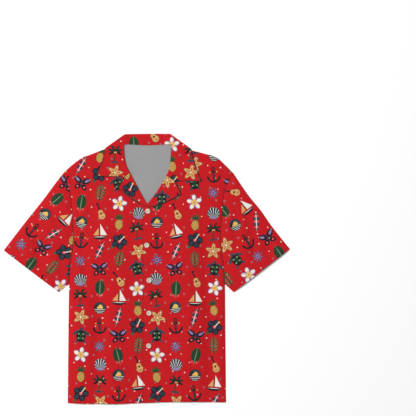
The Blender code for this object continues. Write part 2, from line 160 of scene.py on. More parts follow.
# Folds: the line each follows, its half widths to the viewer's left and right, and its height, below
# zero in a trough. Each fades in and out along its length.
FRONT_FOLDS = (
    (((-142, 430), (-148, 300), (-150, 120), (-153, -90)), (20, 34), -6.0),
    (((-202, 400), (-205, 200), (-212, -60)), (30, 10), 2.4),
    (((-118, 360), (-112, 160), (-120, -60)), (34, 24), 1.8),
    (((-62, 260), (-52, 120), (-40, -60)), (15, 34), -1.8),
    (((-212, 560), (-203, 470), (-186, 380), (-182, 300)), (9, 20), -3.2),
    (((-205, 650), (-178, 600), (-162, 520)), (13, 26), -2.0),
    (((-128, 600), (-100, 520), (-92, 400)), (18, 40), -2.0),
    (((-60, 560), (-66, 470), (-60, 380)), (26, 16), 1.2),
    (((154, 640), (174, 520), (181, 380), (188, 180), (196, -90)), (21, 38), -6.4),
    (((214, 560), (206, 470), (204, 380), (210, 260)), (20, 9), -3.0),
    (((118, 520), (122, 330), (116, 120), (124, -60)), (40, 20), 2.2),
    (((76, 250), (70, 120), (58, -60)), (13, 32), -2.0),
    (((140, 668), (176, 624), (202, 600)), (16, 18), -1.6),
    (((219, 350), (223, 160), (221, 0)), (18, 8), 3.4),
    (((60, 545), (74, 470), (70, 380)), (24, 22), -1.0),
)
SLEEVE_FOLDS = (
    (((-372, 560), (-340, 500), (-322, 420), (-318, 380)), (12, 26), -4.6),
    (((-300, 630), (-276, 560), (-262, 500)), (11, 24), -3.2),
    (((-258, 500), (-262, 430), (-252, 360)), (9, 18), -2.8),
    (((-405, 480), (-376, 440), (-352, 400)), (14, 10), -1.6),
    (((-350, 470), (-372, 430)), (14, 20), 1.4),
    (((286, 620), (306, 545), (318, 470), (316, 400)), (13, 30), -5.6),
    (((262, 600), (264, 520), (248, 420)), (10, 20), -3.2),
    (((352, 545), (362, 490), (352, 430)), (12, 18), -4.6),
    (((270, 660), (292, 620)), (12, 16), -1.8),
    (((392, 470), (384, 440)), (14, 18), 1.2),
)
# The back seen from behind: low arches that lift it off the floor.
BACK_FOLDS = (
    (((118, 640), (110, 500), (106, 360)), (20, 26), 2.0),
    (((-142, 620), (-158, 400), (-166, 60)), (30, 24), 2.3),
    (((60, 330), (48, 180), (44, 30)), (26, 22), 1.6),
    (((-60, 420), (-70, 280), (-64, 160)), (22, 26), 1.4),
    (((180, 330), (186, 200), (184, 80)), (18, 24), 1.6),
)
FOLD_MIDDLE = (-4.0, 4.0)
FADE_IN = 0.34
FADE_OUT = 0.72
FADE_SHARE = 0.9
RIPPLE_SIZE = 1.0
RIPPLE_LENGTH = 85.0
BACK_RIPPLE = 0.35
UNDERSIDE_RIPPLE = 0.4
# The two layers of the waves: size, stretch across, stretch up and change of seed.
WAVE_LAYERS = ((1.0, 1.0, 1.9, 0.0), (0.4, 0.42, 0.7, 7.3))
FRONT_SEED = 3.0
PUCKER_SEED = 3.1
BACK_SEED = 11.0
SLEEVE_SEED = 21.0
UNDERSIDE_SEED = 31.0

FLOOR_COLOUR = (0.97, 0.97, 0.97, 1.0)
HORIZON_LIGHT = 0.40
ZENITH_LIGHT = 0.37
HORIZON_HEIGHT = 2.2
# Soft lights over the middle of the shirt: name, place, size and power.
LIGHTS = (("key", (-3.2, 2.0, 6.0), 2.1, 432), ("side", (-2.3, 0.2, 1.25), 0.9, 3))


def srgb(red, green, blue):
    """A colour given as 0..255 display values, as the linear colour that materials take."""
    linear = []
    for value in (red, green, blue):
        part = value / 255
        linear.append(part / 12.92 if part <= 0.04045 else ((part + 0.055) / 1.055) ** 2.4)
    return (*linear, 1.0)


RED = srgb(187, 5, 17)
REVERSE = srgb(146, 146, 146)
THREAD_RED = srgb(112, 8, 16)
# Near-black red of the dark cords that paint the shadow lines along the collar, lapels, lap edge and
# armholes.
SHADOW_LINE_MAROON = srgb(34, 5, 10)
THREAD_CREAM = srgb(206, 198, 178)
CREAM = srgb(200, 195, 180)
INK = srgb(12, 16, 26)
SLATE = srgb(46, 59, 74)
WHITE = srgb(226, 220, 214)
TAN = srgb(208, 154, 94)
BROWN = srgb(78, 46, 32)
GOLD = srgb(222, 178, 88)
GREEN = srgb(36, 70, 40)
SAGE = srgb(116, 146, 100)
PINK = srgb(228, 80, 88)
LAVENDER = srgb(144, 116, 166)
FLECK = srgb(140, 112, 122)


# Lines in plan: arrays of places, evenly spaced.

def curve(points, count=400):
    """A smooth line through the points."""
    ends = np.array([points[0], *points, points[-1]], float)
    part = np.linspace(0, 1, 24, endpoint=False)[:, None]
    runs = []
    for before, start, end, after in zip(ends, ends[1:], ends[2:], ends[3:]):
        runs.append(
            start + 0.5 * part * (end - before)
            + part ** 2 * (before - 2.5 * start + 2 * end - 0.5 * after)
            + part ** 3 * (-0.5 * before + 1.5 * start - 1.5 * end + 0.5 * after)
        )
    path = np.vstack([*runs, ends[-1:]])
    return along(path, np.linspace(0, 1, count))


def lengths_along(grid):
    """How far each place lies along its line, for one line or a grid of them."""
    steps = np.linalg.norm(np.diff(grid, axis=-2), axis=-1)
    return np.concatenate([np.zeros((*steps.shape[:-1], 1)), np.cumsum(steps, axis=-1)], axis=-1)


def at_distance(line, distances):
    """Places at distances along a line."""
    lengths = lengths_along(line)
    return np.stack([np.interp(distances, lengths, values) for values in line.T], axis=-1)


def along(path, fractions):
    """Places at fractions of a line's length."""
    return at_distance(path, np.clip(fractions, 0, 1) * lengths_along(path)[-1])


def chain(fractions, *sections):
    """Places along lines joined end to end, each given with the fraction where it starts."""
    fractions = np.asarray(fractions, float)
    starts = [start for start, _ in sections] + [1.0]
    places = np.empty((len(fractions), 2))
    for index, (start, path) in enumerate(sections):
        chosen = (fractions >= start) if index else np.ones(len(fractions), bool)
        places[chosen] = along(path, (fractions[chosen] - start) / (starts[index + 1] - start))
    return places


def beside(path, distance):
    """A line moved sideways, to the left of the way it runs."""
    run = np.gradient(path, axis=0)
    run /= np.hypot(run[:, 0], run[:, 1])[:, None]
    return path + distance * np.stack([-run[:, 1], run[:, 0]], axis=-1)


def hem_height(across):
    return HEM_WAVE * np.sin(math.pi * across / HEM_HALF_WAVE)


def hem_line(start, end):
    across = np.linspace(start, end, 200)
    return np.stack([across, hem_height(across)], axis=-1)


def fine_steps(count, around=(), reach=0.01):
    """Fractions from 0 to 1, closer together around an edge or a seam."""
    steps = set(np.linspace(0, 1, count + 1))
    for middle in around:
        for part in (-0.5, -0.22, -0.07, 0.07, 0.22, 0.5):
            steps.add(min(max(middle + part * reach, 0.0), 1.0))
    return np.array(sorted(steps))


def patch(bottom, top, left, right, across, up):
    """Fill the space between four edges that meet at their ends."""
    across = across[:, None, None]
    up = up[None, :, None]
    low_high = bottom[:, None] * (1 - up) + top[:, None] * up
    sides = left[None] * (1 - across) + right[None] * across
    low = bottom[0] * (1 - across) + bottom[-1] * across
    high = top[0] * (1 - across) + top[-1] * across
    return low_high + sides - low * (1 - up) - high * up


def between(start, end, rows):
    """A grid of places from one line to another, at fractions of the way."""
    return start[:, None] * (1 - rows[None, :, None]) + end[:, None] * rows[None, :, None]


# Heights.

def ease(value, limits):
    part = np.clip((value - limits[0]) / (limits[1] - limits[0]), 0, 1)
    return part * part * (3 - 2 * part)


def nearest_on(path, places):
    """How far places are from a line in plan, how far to its right, and how far along it."""
    nearest = np.full(places.shape[:-1], np.inf)
    side = np.zeros(nearest.shape)
    part = np.zeros(nearest.shape)
    for index, (start, end) in enumerate(zip(path, path[1:])):
        run = end - start
        share = np.clip(((places - start) @ run) / max(float(run @ run), 1e-9), 0, 1)
        offset = places - start - share[..., None] * run
        gap = np.hypot(offset[..., 0], offset[..., 1])
        closer = gap < nearest
        nearest = np.where(closer, gap, nearest)
        side = np.where(closer, offset[..., 0], side)
        part = np.where(closer, (index + share) / (len(path) - 1), part)
    return nearest, side, part


def folds_at(folds, places):
    """The height that the folds add: steep on one side, gentle on the other."""
    height = np.zeros(places.shape[:-1])
    for points, (left_width, right_width), rise in folds:
        nearest, side, part = nearest_on(curve(points, 30), places)
        width = left_width + (right_width - left_width) * ease(side, FOLD_MIDDLE)
        fade = ease(part, (0.0, FADE_IN)) * (1 - FADE_SHARE * ease(part, (FADE_OUT, 1.0)))
        height += rise * fade * np.exp(-(nearest / width) ** 2)
    return height


def waves(places, seed, length):
    """Uneven waves between -1 and 1."""
    values = [
        sum(
            size * noise.noise(Vector((across / (length * wide), up / (length * high), seed + change)))
            for size, wide, high, change in WAVE_LAYERS
        )
        for across, up in places.reshape(-1, 2)
    ]
    return np.array(values).reshape(places.shape[:-1])


def rising(gap, reach):
    """0 at a seam, and almost 1 at a few times the reach from it."""
    return 1 - np.exp(-gap / reach)


def surface_waves(places, gap, seed):
    """Cloth that was ironed and then handled, with puckers beside its seams."""
    puckers = PUCKER_SIZE * np.exp(-gap / PUCKER_REACH) * rising(gap, PUCKER_START)
    ripples = RIPPLE_SIZE * waves(places, seed, RIPPLE_LENGTH)
    return ripples + puckers * waves(places, seed + PUCKER_SEED, PUCKER_LENGTH)


def raised(places):
    """The lift of the back and the fronts over the collar that lies behind the neck."""
    return LAYER * ease(places[..., 1], RAISE_UP) * (1 - ease(np.abs(places[..., 0]), RAISE_ACROSS))


def seams_of(*names):
    """The seams of those names, for each side by its sign."""
    stations = np.linspace(0, 1, 40)
    return {side["sign"]: [along(curve(side[name]), stations) for name in names] for side in (RIGHT, LEFT)}


FRONT_SEAMS = seams_of("side_seam", "armhole", "shoulder")
SLEEVE_SEAMS = seams_of("sleeve_fold", "armhole", "underarm")


def nearest_seam(seams, places):
    return np.min([nearest_on(seam, places)[0] for seam in seams], axis=0)


def seam_roll(gap):
    """How the cloth sinks at a seam and rolls up beside it."""
    return (SEAM_SINK + SEAM_RISE) * (1 - (1 - np.clip(gap / SEAM_REACH, 0, 1)) ** 2) - SEAM_SINK


def hem_turn(gap, depth):
    """The thicker cloth of a hem, and the groove that its stitches pull."""
    groove = HEM_GROOVE * np.exp(-((gap - depth) / GROOVE_HALF) ** 2)
    return HEM_THICK * (1 - ease(gap, (depth + HEM_EDGE[0], depth + HEM_EDGE[1]))) - groove


def front_height(side, places):
    """The middle of a front's cloth above the floor."""
    across, up = places[..., 0], places[..., 1]
    gap = nearest_seam(FRONT_SEAMS[side["sign"]], places)
    chest = ease(up, CHEST_FADE)
    plain = PLACKET_PUFF + (NECK_PUFF - PLACKET_PUFF) * chest
    full = BODY_PUFF + (CHEST_PUFF - BODY_PUFF) * chest
    away = 1 - np.exp(-(np.clip(np.abs(across) - PLACKET_HALF, 0, None) / PLACKET_REACH) ** 2)
    quiet = 1 - ease(up, QUIET_UP) * (1 - ease(np.abs(across), QUIET_ACROSS))
    shape = folds_at(FRONT_FOLDS, places) + surface_waves(places, gap, FRONT_SEED)
    rise = plain - SEAM_RISE + away * quiet * (full - plain + shape)
    height = FRONT_LEVEL + raised(places) + seam_roll(gap) + np.maximum(rising(gap, PUFF_REACH) * rise, 0)
    if side is LEFT:
        height = height + LAYER * (1 - ease(across, LAP_EASE))
    return height


def collar_height(places):
    """The middle of the collar's cloth: over the fronts at the sides, on the back at the neck."""
    across, up = places[..., 0], places[..., 1]
    on_front = np.maximum(ease(np.abs(across), BAND_ACROSS), 1 - ease(up, BAND_UP))
    band = FRONT_LEVEL + raised(places)
    fronts = np.where(across < 0, front_height(RIGHT, places), front_height(LEFT, places))
    return band + on_front * (np.maximum(fronts, FRONT_LEVEL) + LAYER - band)


# Meshes.

def to_frame(points):
    """Shirt millimetres to frame metres."""
    moved = np.asarray(points, float) * MM
    return moved + np.array([SHIRT_ORIGIN[0], SHIRT_ORIGIN[1], 0.0])


def unit(vectors):
    length = np.linalg.norm(vectors, axis=-1, keepdims=True)
    return vectors / np.maximum(length, 1e-12)


def surface_normals(middle, ring):
    """The way the cloth faces at each point of its middle surface."""
    along_rows = np.gradient(middle, axis=0)
    if ring:
        along_columns = (np.roll(middle, -1, axis=1) - np.roll(middle, 1, axis=1)) / 2
    else:
        along_columns = np.gradient(middle, axis=1)
    return unit(np.cross(along_rows, along_columns))


def close_ring(values):
    return np.concatenate([values, values[:, :1]], axis=1)


def quads(values):
    """The values at the four corners of each cell of a grid."""
    return np.stack([values[:-1, :-1], values[1:, :-1], values[1:, 1:], values[:-1, 1:]], axis=2)


def new_piece(name, points, faces, *materials):
    """A smooth mesh in the scene, from points in metres."""
    mesh = bpy.data.meshes.new(name)
    mesh.from_pydata(np.asarray(points).tolist(), [], faces)
    for material in materials:
        mesh.materials.append(material)
    mesh.shade_smooth()
    piece = bpy.data.objects.new(name, mesh)
    bpy.context.scene.collection.objects.link(piece)
    return piece


def dress(piece, node):
    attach(piece, "root")
    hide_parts(node)


def grids_piece(name, points, grids, materials):
    """A piece of cloth from grids of corners. Each grid has their numbers, their places on the cut
    cloth, their places on the bake map and the number of its material."""
    ids, cuts, bakes, slots = zip(*grids)
    faces = [quads(grid).reshape(-1, 4) for grid in ids]
    piece = new_piece(name, to_frame(points), np.vstack(faces).tolist(), *materials)
    for label, maps in (("Cut", cuts), ("OFBake", bakes)):
        values = np.vstack([quads(grid).reshape(-1, 2) for grid in maps])
        piece.data.uv_layers.new(name=label).data.foreach_set("uv", values.ravel())
    piece.data.polygons.foreach_set("material_index", np.repeat(slots, [len(group) for group in faces]))
    work = bmesh.new()
    work.from_mesh(piece.data)
    bmesh.ops.recalc_face_normals(work, faces=work.faces)
    work.to_mesh(piece.data)
    work.free()
    dress(piece, name)
    return piece


# Where the cloth's outside, its inside and its one or two rims lie on the bake map.
OUTSIDE_MAP = ((0.01, 0.05), (0.49, 0.99))
INSIDE_MAP = ((0.51, 0.05), (0.99, 0.99))
RIM_MAPS = (((0.01, 0.005), (0.99, 0.015)), ((0.01, 0.025), (0.99, 0.035)))
RIM_BULGE = 0.8


def box_map(shape, corners):
    """An even grid over a rectangle of the bake map."""
    low, high = corners
    lines = [np.linspace(low[axis], high[axis], shape[axis]) for axis in (0, 1)]
    return np.stack(np.meshgrid(*lines, indexing="ij"), axis=-1)


def border(grid):
    """The outermost values of a grid, once round it."""
    return np.concatenate([grid[0, :-1], grid[:-1, -1], grid[-1, :0:-1], grid[:0:-1, 0]])


def rim_paths(shape, ring):
    """Indices along each rim of a grid, each with the indices just inside it."""
    rows, columns = shape
    if ring:
        every = slice(None)
        return [((0, every), (1, every)), ((rows - 1, every), (rows - 2, every))]
    row_path, column_path = (border(index) for index in np.indices(shape))
    inside = (np.clip(row_path, 1, rows - 2), np.clip(column_path, 1, columns - 2))
    return [((row_path, column_path), inside)]


def shell(name, middle, cut, thickness, materials, ring=False):
    """A wall of cloth with rounded edges round a middle surface: its outside, inside and rim."""
    facing = surface_normals(middle, ring) * thickness / 2
    points = [(middle + facing).reshape(-1, 3), (middle - facing).reshape(-1, 3)]
    outer = np.arange(len(points[0])).reshape(middle.shape[:2])
    inner = outer + outer.size
    count = 2 * outer.size
    grids = []
    for (edge, next_to_it), corners in zip(rim_paths(outer.shape, ring), RIM_MAPS):
        bulge = unit(middle[edge] - middle[next_to_it]) * thickness / 2
        points.append(middle[edge] + bulge * RIM_BULGE)
        rim = count + np.arange(len(points[-1]))
        count += len(rim)
        ids = close_ring(np.stack([outer[edge], rim, inner[edge]]))
        cuts = close_ring(np.stack([cut[edge]] * 3))
        grids.append((ids, cuts, box_map(ids.shape[::-1], corners).transpose(1, 0, 2), 0))
    if ring:
        outer, inner, cut = (close_ring(grid) for grid in (outer, inner, cut))
    grids.append((outer, cut, box_map(outer.shape, OUTSIDE_MAP), 0))
    grids.append((inner, cut, box_map(inner.shape, INSIDE_MAP), 1))
    return grids_piece(name, np.vstack(points), grids, materials)


def with_height(places, height):
    return np.concatenate([places, height[..., None]], axis=-1)


def plan_area(places):
    """The area of a plan grid, in square metres."""
    first = places[1:, 1:] - places[:-1, :-1]
    second = places[1:, :-1] - places[:-1, 1:]
    return float(np.abs(first[..., 0] * second[..., 1] - first[..., 1] * second[..., 0]).sum() / 2) * MM * MM


# The cloth's print: motifs drawn with a few soft-edged shapes each, worked out in the material.

class Number:
    """A number in a material: sums with it add Math nodes."""

    tree = None

    def __init__(self, source):
        self.source = source

    @classmethod
    def maths(cls, operation, *values, clamp=False):
        return cls(add_node("Math", *values, operation=operation, use_clamp=clamp))

    def __add__(self, other):
        return self.maths("ADD", self, other)

    def __sub__(self, other):
        return self.maths("SUBTRACT", self, other)

    def __mul__(self, other):
        return self.maths("MULTIPLY", self, other)

    def __truediv__(self, other):
        return self.maths("DIVIDE", self, other)

    def __mod__(self, other):
        return self.maths("FLOORED_MODULO", self, other)


def feed(socket, value):
    """Set a socket to a value, or link it to another node's output."""
    if isinstance(value, Number):
        value = value.source
    if isinstance(value, bpy.types.NodeSocket):
        Number.tree.links.new(value, socket)
    else:
        socket.default_value = value


def add_node(kind, *values, output=0, **settings):
    """The output of a new node of a kind, given its first inputs and its settings."""
    node = Number.tree.nodes.new("ShaderNode" + kind)
    for name, setting in settings.items():
        setattr(node, name, setting)
    for socket, value in zip(node.inputs, values):
        if value is not None:
            feed(socket, value)
    return node.outputs[output]


def vectors(operation, *values, output=0):
    return add_node("VectorMath", *values, output=output, operation=operation)


def split(vector):
    """The first two parts of a vector. Dot products keep a long material within Cycles' limits,
    which Separate XYZ with an unused output doesn't."""
    return tuple(Number(vectors("DOT_PRODUCT", vector, axis, output=1)) for axis in ((1, 0, 0), (0, 1, 0)))


def reach_of(vector):
    return Number(vectors("LENGTH", vector, output=1))


def join(*parts):
    return add_node("CombineXYZ", *parts)


def turned(place, angle, centre=(0, 0)):
    return add_node("VectorRotate", place, (*centre, 0), (0, 0, 1), angle, rotation_type="Z_AXIS")


def mirrored(place):
    """The place with its left half laid over its right half."""
    across, up = split(place)
    return join(Number.maths("ABSOLUTE", across), up)


def petals(place, count):
    """The place turned into the first of a number of equal sectors round the middle."""
    across, up = split(place)
    angle = Number.maths("ARCTAN2", up, across)
    half = math.pi / count
    sector = Number.maths("WRAP", angle, half, -half)
    reach = reach_of(place)
    return join(reach * Number.maths("COSINE", sector), reach * Number.maths("SINE", sector))


EDGE_SOFTNESS = 0.7


def blob(place, centre, radii, turn=0.0):
    """1 inside an ellipse and 0 outside it."""
    if turn:
        place = turned(place, -math.radians(turn), centre)
    wide, high = radii
    middle = (-centre[0] / wide, -centre[1] / high, 0)
    shrunk = vectors("MULTIPLY_ADD", place, (1 / wide, 1 / high, 0), middle)
    steep = min(radii) / EDGE_SOFTNESS
    return Number.maths("MULTIPLY_ADD", reach_of(shrunk), -steep, steep + 0.5, clamp=True)


def dot(place, centre, radius):
    return blob(place, centre, (radius, radius))


def stripes(value, spacing, share):
    """1 on evenly spaced lines of a value, which cover a share of it."""
    part = Number.maths("PINGPONG", value, spacing / 2)
    return Number.maths("LESS_THAN", part, spacing * share / 2)


def both(first, second):
    return Number.maths("MULTIPLY", first, second)


def either(*masks):
    joined = masks[0]
    for mask in masks[1:]:
        joined = Number.maths("MAXIMUM", joined, mask)
    return joined


def paint(colour, mask, new_colour, blend="MIX"):
    """Lay a colour over another where a mask is 1."""
    node = Number.tree.nodes.new("ShaderNodeMix")
    node.data_type = "RGBA"
    node.blend_type = blend
    for index, value in ((0, mask), (6, colour), (7, new_colour)):
        feed(node.inputs[index], value)
    return node.outputs[2]


def layered(colour, *layers):
    """Lay ellipses over one another: each is a place, a centre, radii, a colour and perhaps a turn."""
    for place, centre, radii, new_colour, *turn in layers:
        colour = paint(colour, blob(place, centre, radii, *turn), new_colour)
    return colour


def below(place, direction, offset):
    """1 on the near side of a straight line, whose direction is the way out of it."""
    reach = Number(vectors("DOT_PRODUCT", place, (*direction, 0), output=1))
    return Number.maths("MULTIPLY_ADD", reach, -1 / EDGE_SOFTNESS, offset / EDGE_SOFTNESS + 0.5, clamp=True)


def without(mask, hole):
    return both(mask, Number.maths("SUBTRACT", 1.0, hole))


def hibiscus(colour, place, star):
    return layered(
        colour,
        (place, (-13, -15), (10, 4.2), GREEN, 38),
        (place, (-12, -14), (8, 0.6), SAGE, 38),
        (star, (11.5, 0), (10.5, 9.0), INK),
        (star, (13.0, 0), (7.2, 4.8), SLATE),
        (star, (9, 0), (9.0, 0.9), INK),
        (place, (0, 0), (4.2, 4.2), PINK),
        (place, (5.5, 7.5), (9.5, 1.2), WHITE, 54),
        (place, (10.5, 14.5), (2.5, 2.5), GOLD),
    )


def plumeria(colour, place, star):
    return layered(
        colour,
        (star, (11, 2.0), (10.5, 7.2), SLATE, 8),
        (star, (11, 2.0), (9.8, 6.4), LAVENDER, 8),
        (star, (11, 3.0), (9.2, 5.0), WHITE, 8),
        (star, (4.5, 0.5), (6.0, 3.0), GOLD),
        (place, (0, 0), (1.6, 1.6), BROWN),
    )


def starfish(colour, place, star):
    return layered(
        colour,
        (star, (7.5, 0), (15.0, 6.0), BROWN),
        (star, (7.2, 0), (13.9, 5.1), TAN),
        (star, (8.5, 0), (8.5, 0.8), BROWN),
        (star, (15.5, 0), (1.1, 1.1), WHITE),
        (place, (0, 0), (2.3, 2.3), WHITE),
    )


def palm(colour, place, mirror):
    return layered(
        colour,
        (place, (-2, -20.5), (12, 3.0), SLATE),
        (place, (-1.5, -7), (16, 2.1), BROWN, 83),
        (mirror, (5.5, 17), (9.5, 3.2), INK, 56),
        (mirror, (9.5, 11), (10.5, 3.3), INK, 16),
        (mirror, (9.5, 4.5), (10, 3.0), INK, -28),
        (mirror, (10.5, 11.6), (7.5, 1.0), GREEN, 16),
        (mirror, (6.2, 17.5), (6.5, 1.0), GREEN, 56),
        (mirror, (2.0, 6.0), (2.2, 2.2), TAN),
    )


def leaf(colour, place, mirror):
    across, up = split(mirror)
    body = blob(place, (0, 1), (13.5, 20))
    colour = paint(colour, body, GREEN)
    colour = paint(colour, both(body, stripes(up - across * 0.8, 7.0, 0.34)), INK)
    return layered(
        colour,
        (place, (0, -2), (1.1, 22), SAGE),
        (mirror, (6.5, -18), (2.9, 2.9), PINK),
    )


def pineapple(colour, place, mirror):
    across, up = split(place)
    colour = layered(
        colour,
        (mirror, (0, 16), (2.3, 8.5), GREEN),
        (mirror, (4.5, 14), (8, 2.3), GREEN, 62),
        (mirror, (6.5, 10.5), (7, 2.1), GREEN, 30),
        (place, (0, -7), (10.8, 14.3), BROWN),
    )
    grid = either(stripes(across + up, 5.6, 0.24), stripes(across - up, 5.6, 0.24))
    return paint(colour, without(blob(place, (0, -7), (9.8, 13.3)), grid), GOLD)


def turtle(colour, place, mirror):
    return layered(
        colour,
        (mirror, (14, 10), (11, 3.8), SLATE, -38),
        (mirror, (10, -14), (6.5, 3.0), SLATE, -52),
        (place, (0, 19), (4.4, 5.6), SLATE),
        (place, (0, 0), (12.8, 15.8), INK),
        (mirror, (6.0, 6.4), (2.6, 2.6), SAGE),
        (mirror, (6.0, -5.4), (2.6, 2.6), SAGE),
        (place, (0, 0), (2.2, 9.5), GREEN),
    )


def scallop(colour, place, mirror):
    across, up = split(vectors("SUBTRACT", place, (0, -17, 0)))
    angle = Number.maths("ARCTAN2", across, up)
    fan = both(dot(place, (0, 0), 16.0), blob(place, (0, 10), (20, 27)))
    colour = layered(
        colour,
        (place, (0, -15), (7.5, 3.2), BROWN),
        (place, (0, 0), (16.8, 16.8), BROWN),
    )
    colour = paint(colour, fan, SLATE)
    colour = paint(colour, both(fan, stripes(angle, 0.26, 0.24)), WHITE)
    return paint(colour, both(fan, blob(place, (0, -17), (9, 9))), LAVENDER)


def butterfly(colour, place, mirror):
    return layered(
        colour,
        (mirror, (11.5, 8), (12, 7.8), INK, 34),
        (mirror, (9, -9.5), (9, 6.6), INK, -42),
        (mirror, (13, 9), (6.8, 3.3), LAVENDER, 34),
        (mirror, (9.5, -10), (2.9, 2.9), PINK),
        (mirror, (20, 14.5), (1.0, 1.0), WHITE),
        (place, (0, 0), (1.8, 13), SLATE),
    )


def ukulele(colour, place, mirror):
    tilted = turned(place, math.radians(-32))
    colour = layered(
        colour,
        (tilted, (0, 10), (1.9, 14), INK),
        (tilted, (0, 22), (3.0, 3.8), INK),
    )
    colour = paint(colour, either(dot(tilted, (0, -12), 10.2), dot(tilted, (0, -1.5), 7.6)), BROWN)
    colour = paint(colour, either(dot(tilted, (0, -12), 9.1), dot(tilted, (0, -1.5), 6.5)), TAN)
    return layered(
        colour,
        (tilted, (0, -5), (2.9, 2.9), INK),
        (tilted, (0, -15), (4.2, 0.9), INK),
    )


def frond(colour, place, mirror):
    across, up = split(mirror)
    body = blob(place, (0, 2), (13, 22))
    colour = paint(colour, both(body, stripes(up - across * 0.9, 7.2, 0.62)), GREEN)
    colour = paint(colour, both(blob(place, (0, 2), (9, 19)), stripes(up - across * 0.9, 7.2, 0.22)), SAGE)
    return paint(colour, blob(place, (0, -1), (1.2, 23)), INK)


def surfboard(colour, place, mirror):
    tilted = turned(place, math.radians(24))
    up = split(tilted)[1]
    colour = paint(colour, blob(tilted, (0, 0), (8.2, 24)), INK)
    inside = blob(tilted, (0, 0), (7.0, 22.8))
    colour = paint(colour, inside, SLATE)
    colour = paint(colour, both(inside, stripes(up, 15.0, 0.36)), PINK)
    return paint(colour, blob(tilted, (0, 0), (1.1, 22)), WHITE)


def sailboat(colour, place, mirror):
    hull = both(blob(place, (0, -11), (19, 9)), below(place, (0, 1), -11))
    colour = paint(colour, blob(place, (0, 3), (1.2, 19)), BROWN)
    large = both(both(below(place, (0.86, 0.5), 13), below(place, (0, -1), 8)), below(place, (-1, 0), -2))
    small = both(both(below(place, (-0.8, 0.6), 9), below(place, (0, -1), 8)), below(place, (1, 0), -2.5))
    colour = paint(colour, large, WHITE)
    colour = paint(colour, small, TAN)
    colour = paint(colour, hull, INK)
    return paint(colour, both(hull, blob(place, (0, -13), (14, 0.9))), WHITE)


def sunburst(colour, place, mirror):
    rays = petals(place, 8)
    return layered(
        colour,
        (rays, (8.5, 0), (8.0, 2.4), SLATE),
        (rays, (8.5, 0), (5.5, 1.0), LAVENDER),
        (place, (0, 0), (5.0, 5.0), LAVENDER),
        (place, (0, 0), (2.2, 2.2), INK),
    )


def sunset(colour, place, mirror):
    up = split(place)[1]
    disc = dot(place, (0, 0), 15.0)
    colour = paint(colour, dot(place, (0, 0), 16.4), INK)
    colour = paint(colour, disc, SLATE)
    colour = paint(colour, both(disc, dot(place, (0, 1), 8.0)), GOLD)
    sea = both(disc, below(place, (0, 1), -2))
    colour = paint(colour, sea, INK)
    colour = paint(colour, both(sea, stripes(up, 4.4, 0.3)), WHITE)
    return paint(colour, both(disc, blob(place, (-8, 5), (8, 2.6), 40)), INK)


def anchor(colour, place, mirror):
    ring = without(dot(place, (0, 17), 5.6), dot(place, (0, 17), 2.7))
    arms = both(without(dot(place, (0, -2), 18.5), dot(place, (0, 1), 16.2)), below(place, (0, 1), -4))
    colour = paint(colour, either(ring, arms), INK)
    colour = paint(colour, either(blob(place, (0, -3), (2.6, 18)), blob(place, (0, 8.5), (10.5, 2.2))), INK)
    return layered(
        colour,
        (mirror, (15.5, -6.5), (5.5, 2.6), INK, 62),
        (place, (0, -2), (0.9, 13), SLATE),
        (mirror, (9.5, 8.5), (1.7, 1.7), GOLD),
    )


MOTIFS = (
    hibiscus, pineapple, plumeria, turtle, starfish, palm, scallop, sunburst,
    anchor, sunset, leaf, butterfly, surfboard, sailboat, ukulele, frond,
)
STARRED = (hibiscus, plumeria, starfish)
STAR_POINTS = 5
COLUMN_STEP = 4
MOTIF_PITCH = 57.0
HALF_DROP = 0.5
MOTIF_TURN = 0.5
MOTIF_SHIFT = 5.0
MOTIF_SIZE = 1.1
FAR_AWAY = 900.0
FLECK_PITCH = 33.0
FLECK_GRID_TURN = 0.55
FLECK_SHIFT = 15.0
FLECK_RADIUS = 1.8
FLECK_VARIATION = 1.4
GREY_WIDER = 0.6
GREY_STRENGTH = 0.72
WHITE_SHARE = 0.52


def lattice(cut, pitch):
    """The cell that a place lies in, and the place in millimetres from the cell's middle."""
    across, up = split(vectors("MULTIPLY", cut, (1 / (MM * pitch), 1 / (MM * pitch), 0)))
    column = Number.maths("FLOOR", across)
    drop = column % 2.0 * HALF_DROP
    row = Number.maths("FLOOR", up + drop)
    local = join((across - column - 0.5) * pitch, (up + drop - row - 0.5) * pitch)
    return column, row, local


def chances(column, row):
    """Numbers from 0 to 1 that differ from cell to cell: a single one and three more."""
    value = add_node("TexWhiteNoise", join(column, row), noise_dimensions="2D")
    return Number(value), value.node.outputs["Color"]


def shifted(local, chance, reach):
    """The place seen from a middle that is moved by up to half the reach."""
    offset = vectors("MULTIPLY_ADD", chance, (reach, reach, 0), (-reach / 2, -reach / 2, 0))
    return vectors("SUBTRACT", local, offset)


def flecked(cut):
    """The ground colour with small white and grey flecks strewn over it."""
    column, row, local = lattice(turned(cut, FLECK_GRID_TURN), FLECK_PITCH)
    chance, other_chances = chances(column, row)
    place = shifted(local, other_chances, FLECK_SHIFT)
    reach = reach_of(place)
    radius = Number.maths("MULTIPLY_ADD", chance, FLECK_VARIATION, FLECK_RADIUS)
    white = Number.maths("SUBTRACT", radius, reach, clamp=True)
    grey = both(Number.maths("SUBTRACT", radius + GREY_WIDER, reach, clamp=True), GREY_STRENGTH)
    is_grey = Number.maths("GREATER_THAN", chance, WHITE_SHARE)
    return paint(paint(RED, without(white, is_grey), WHITE), both(grey, is_grey), FLECK)


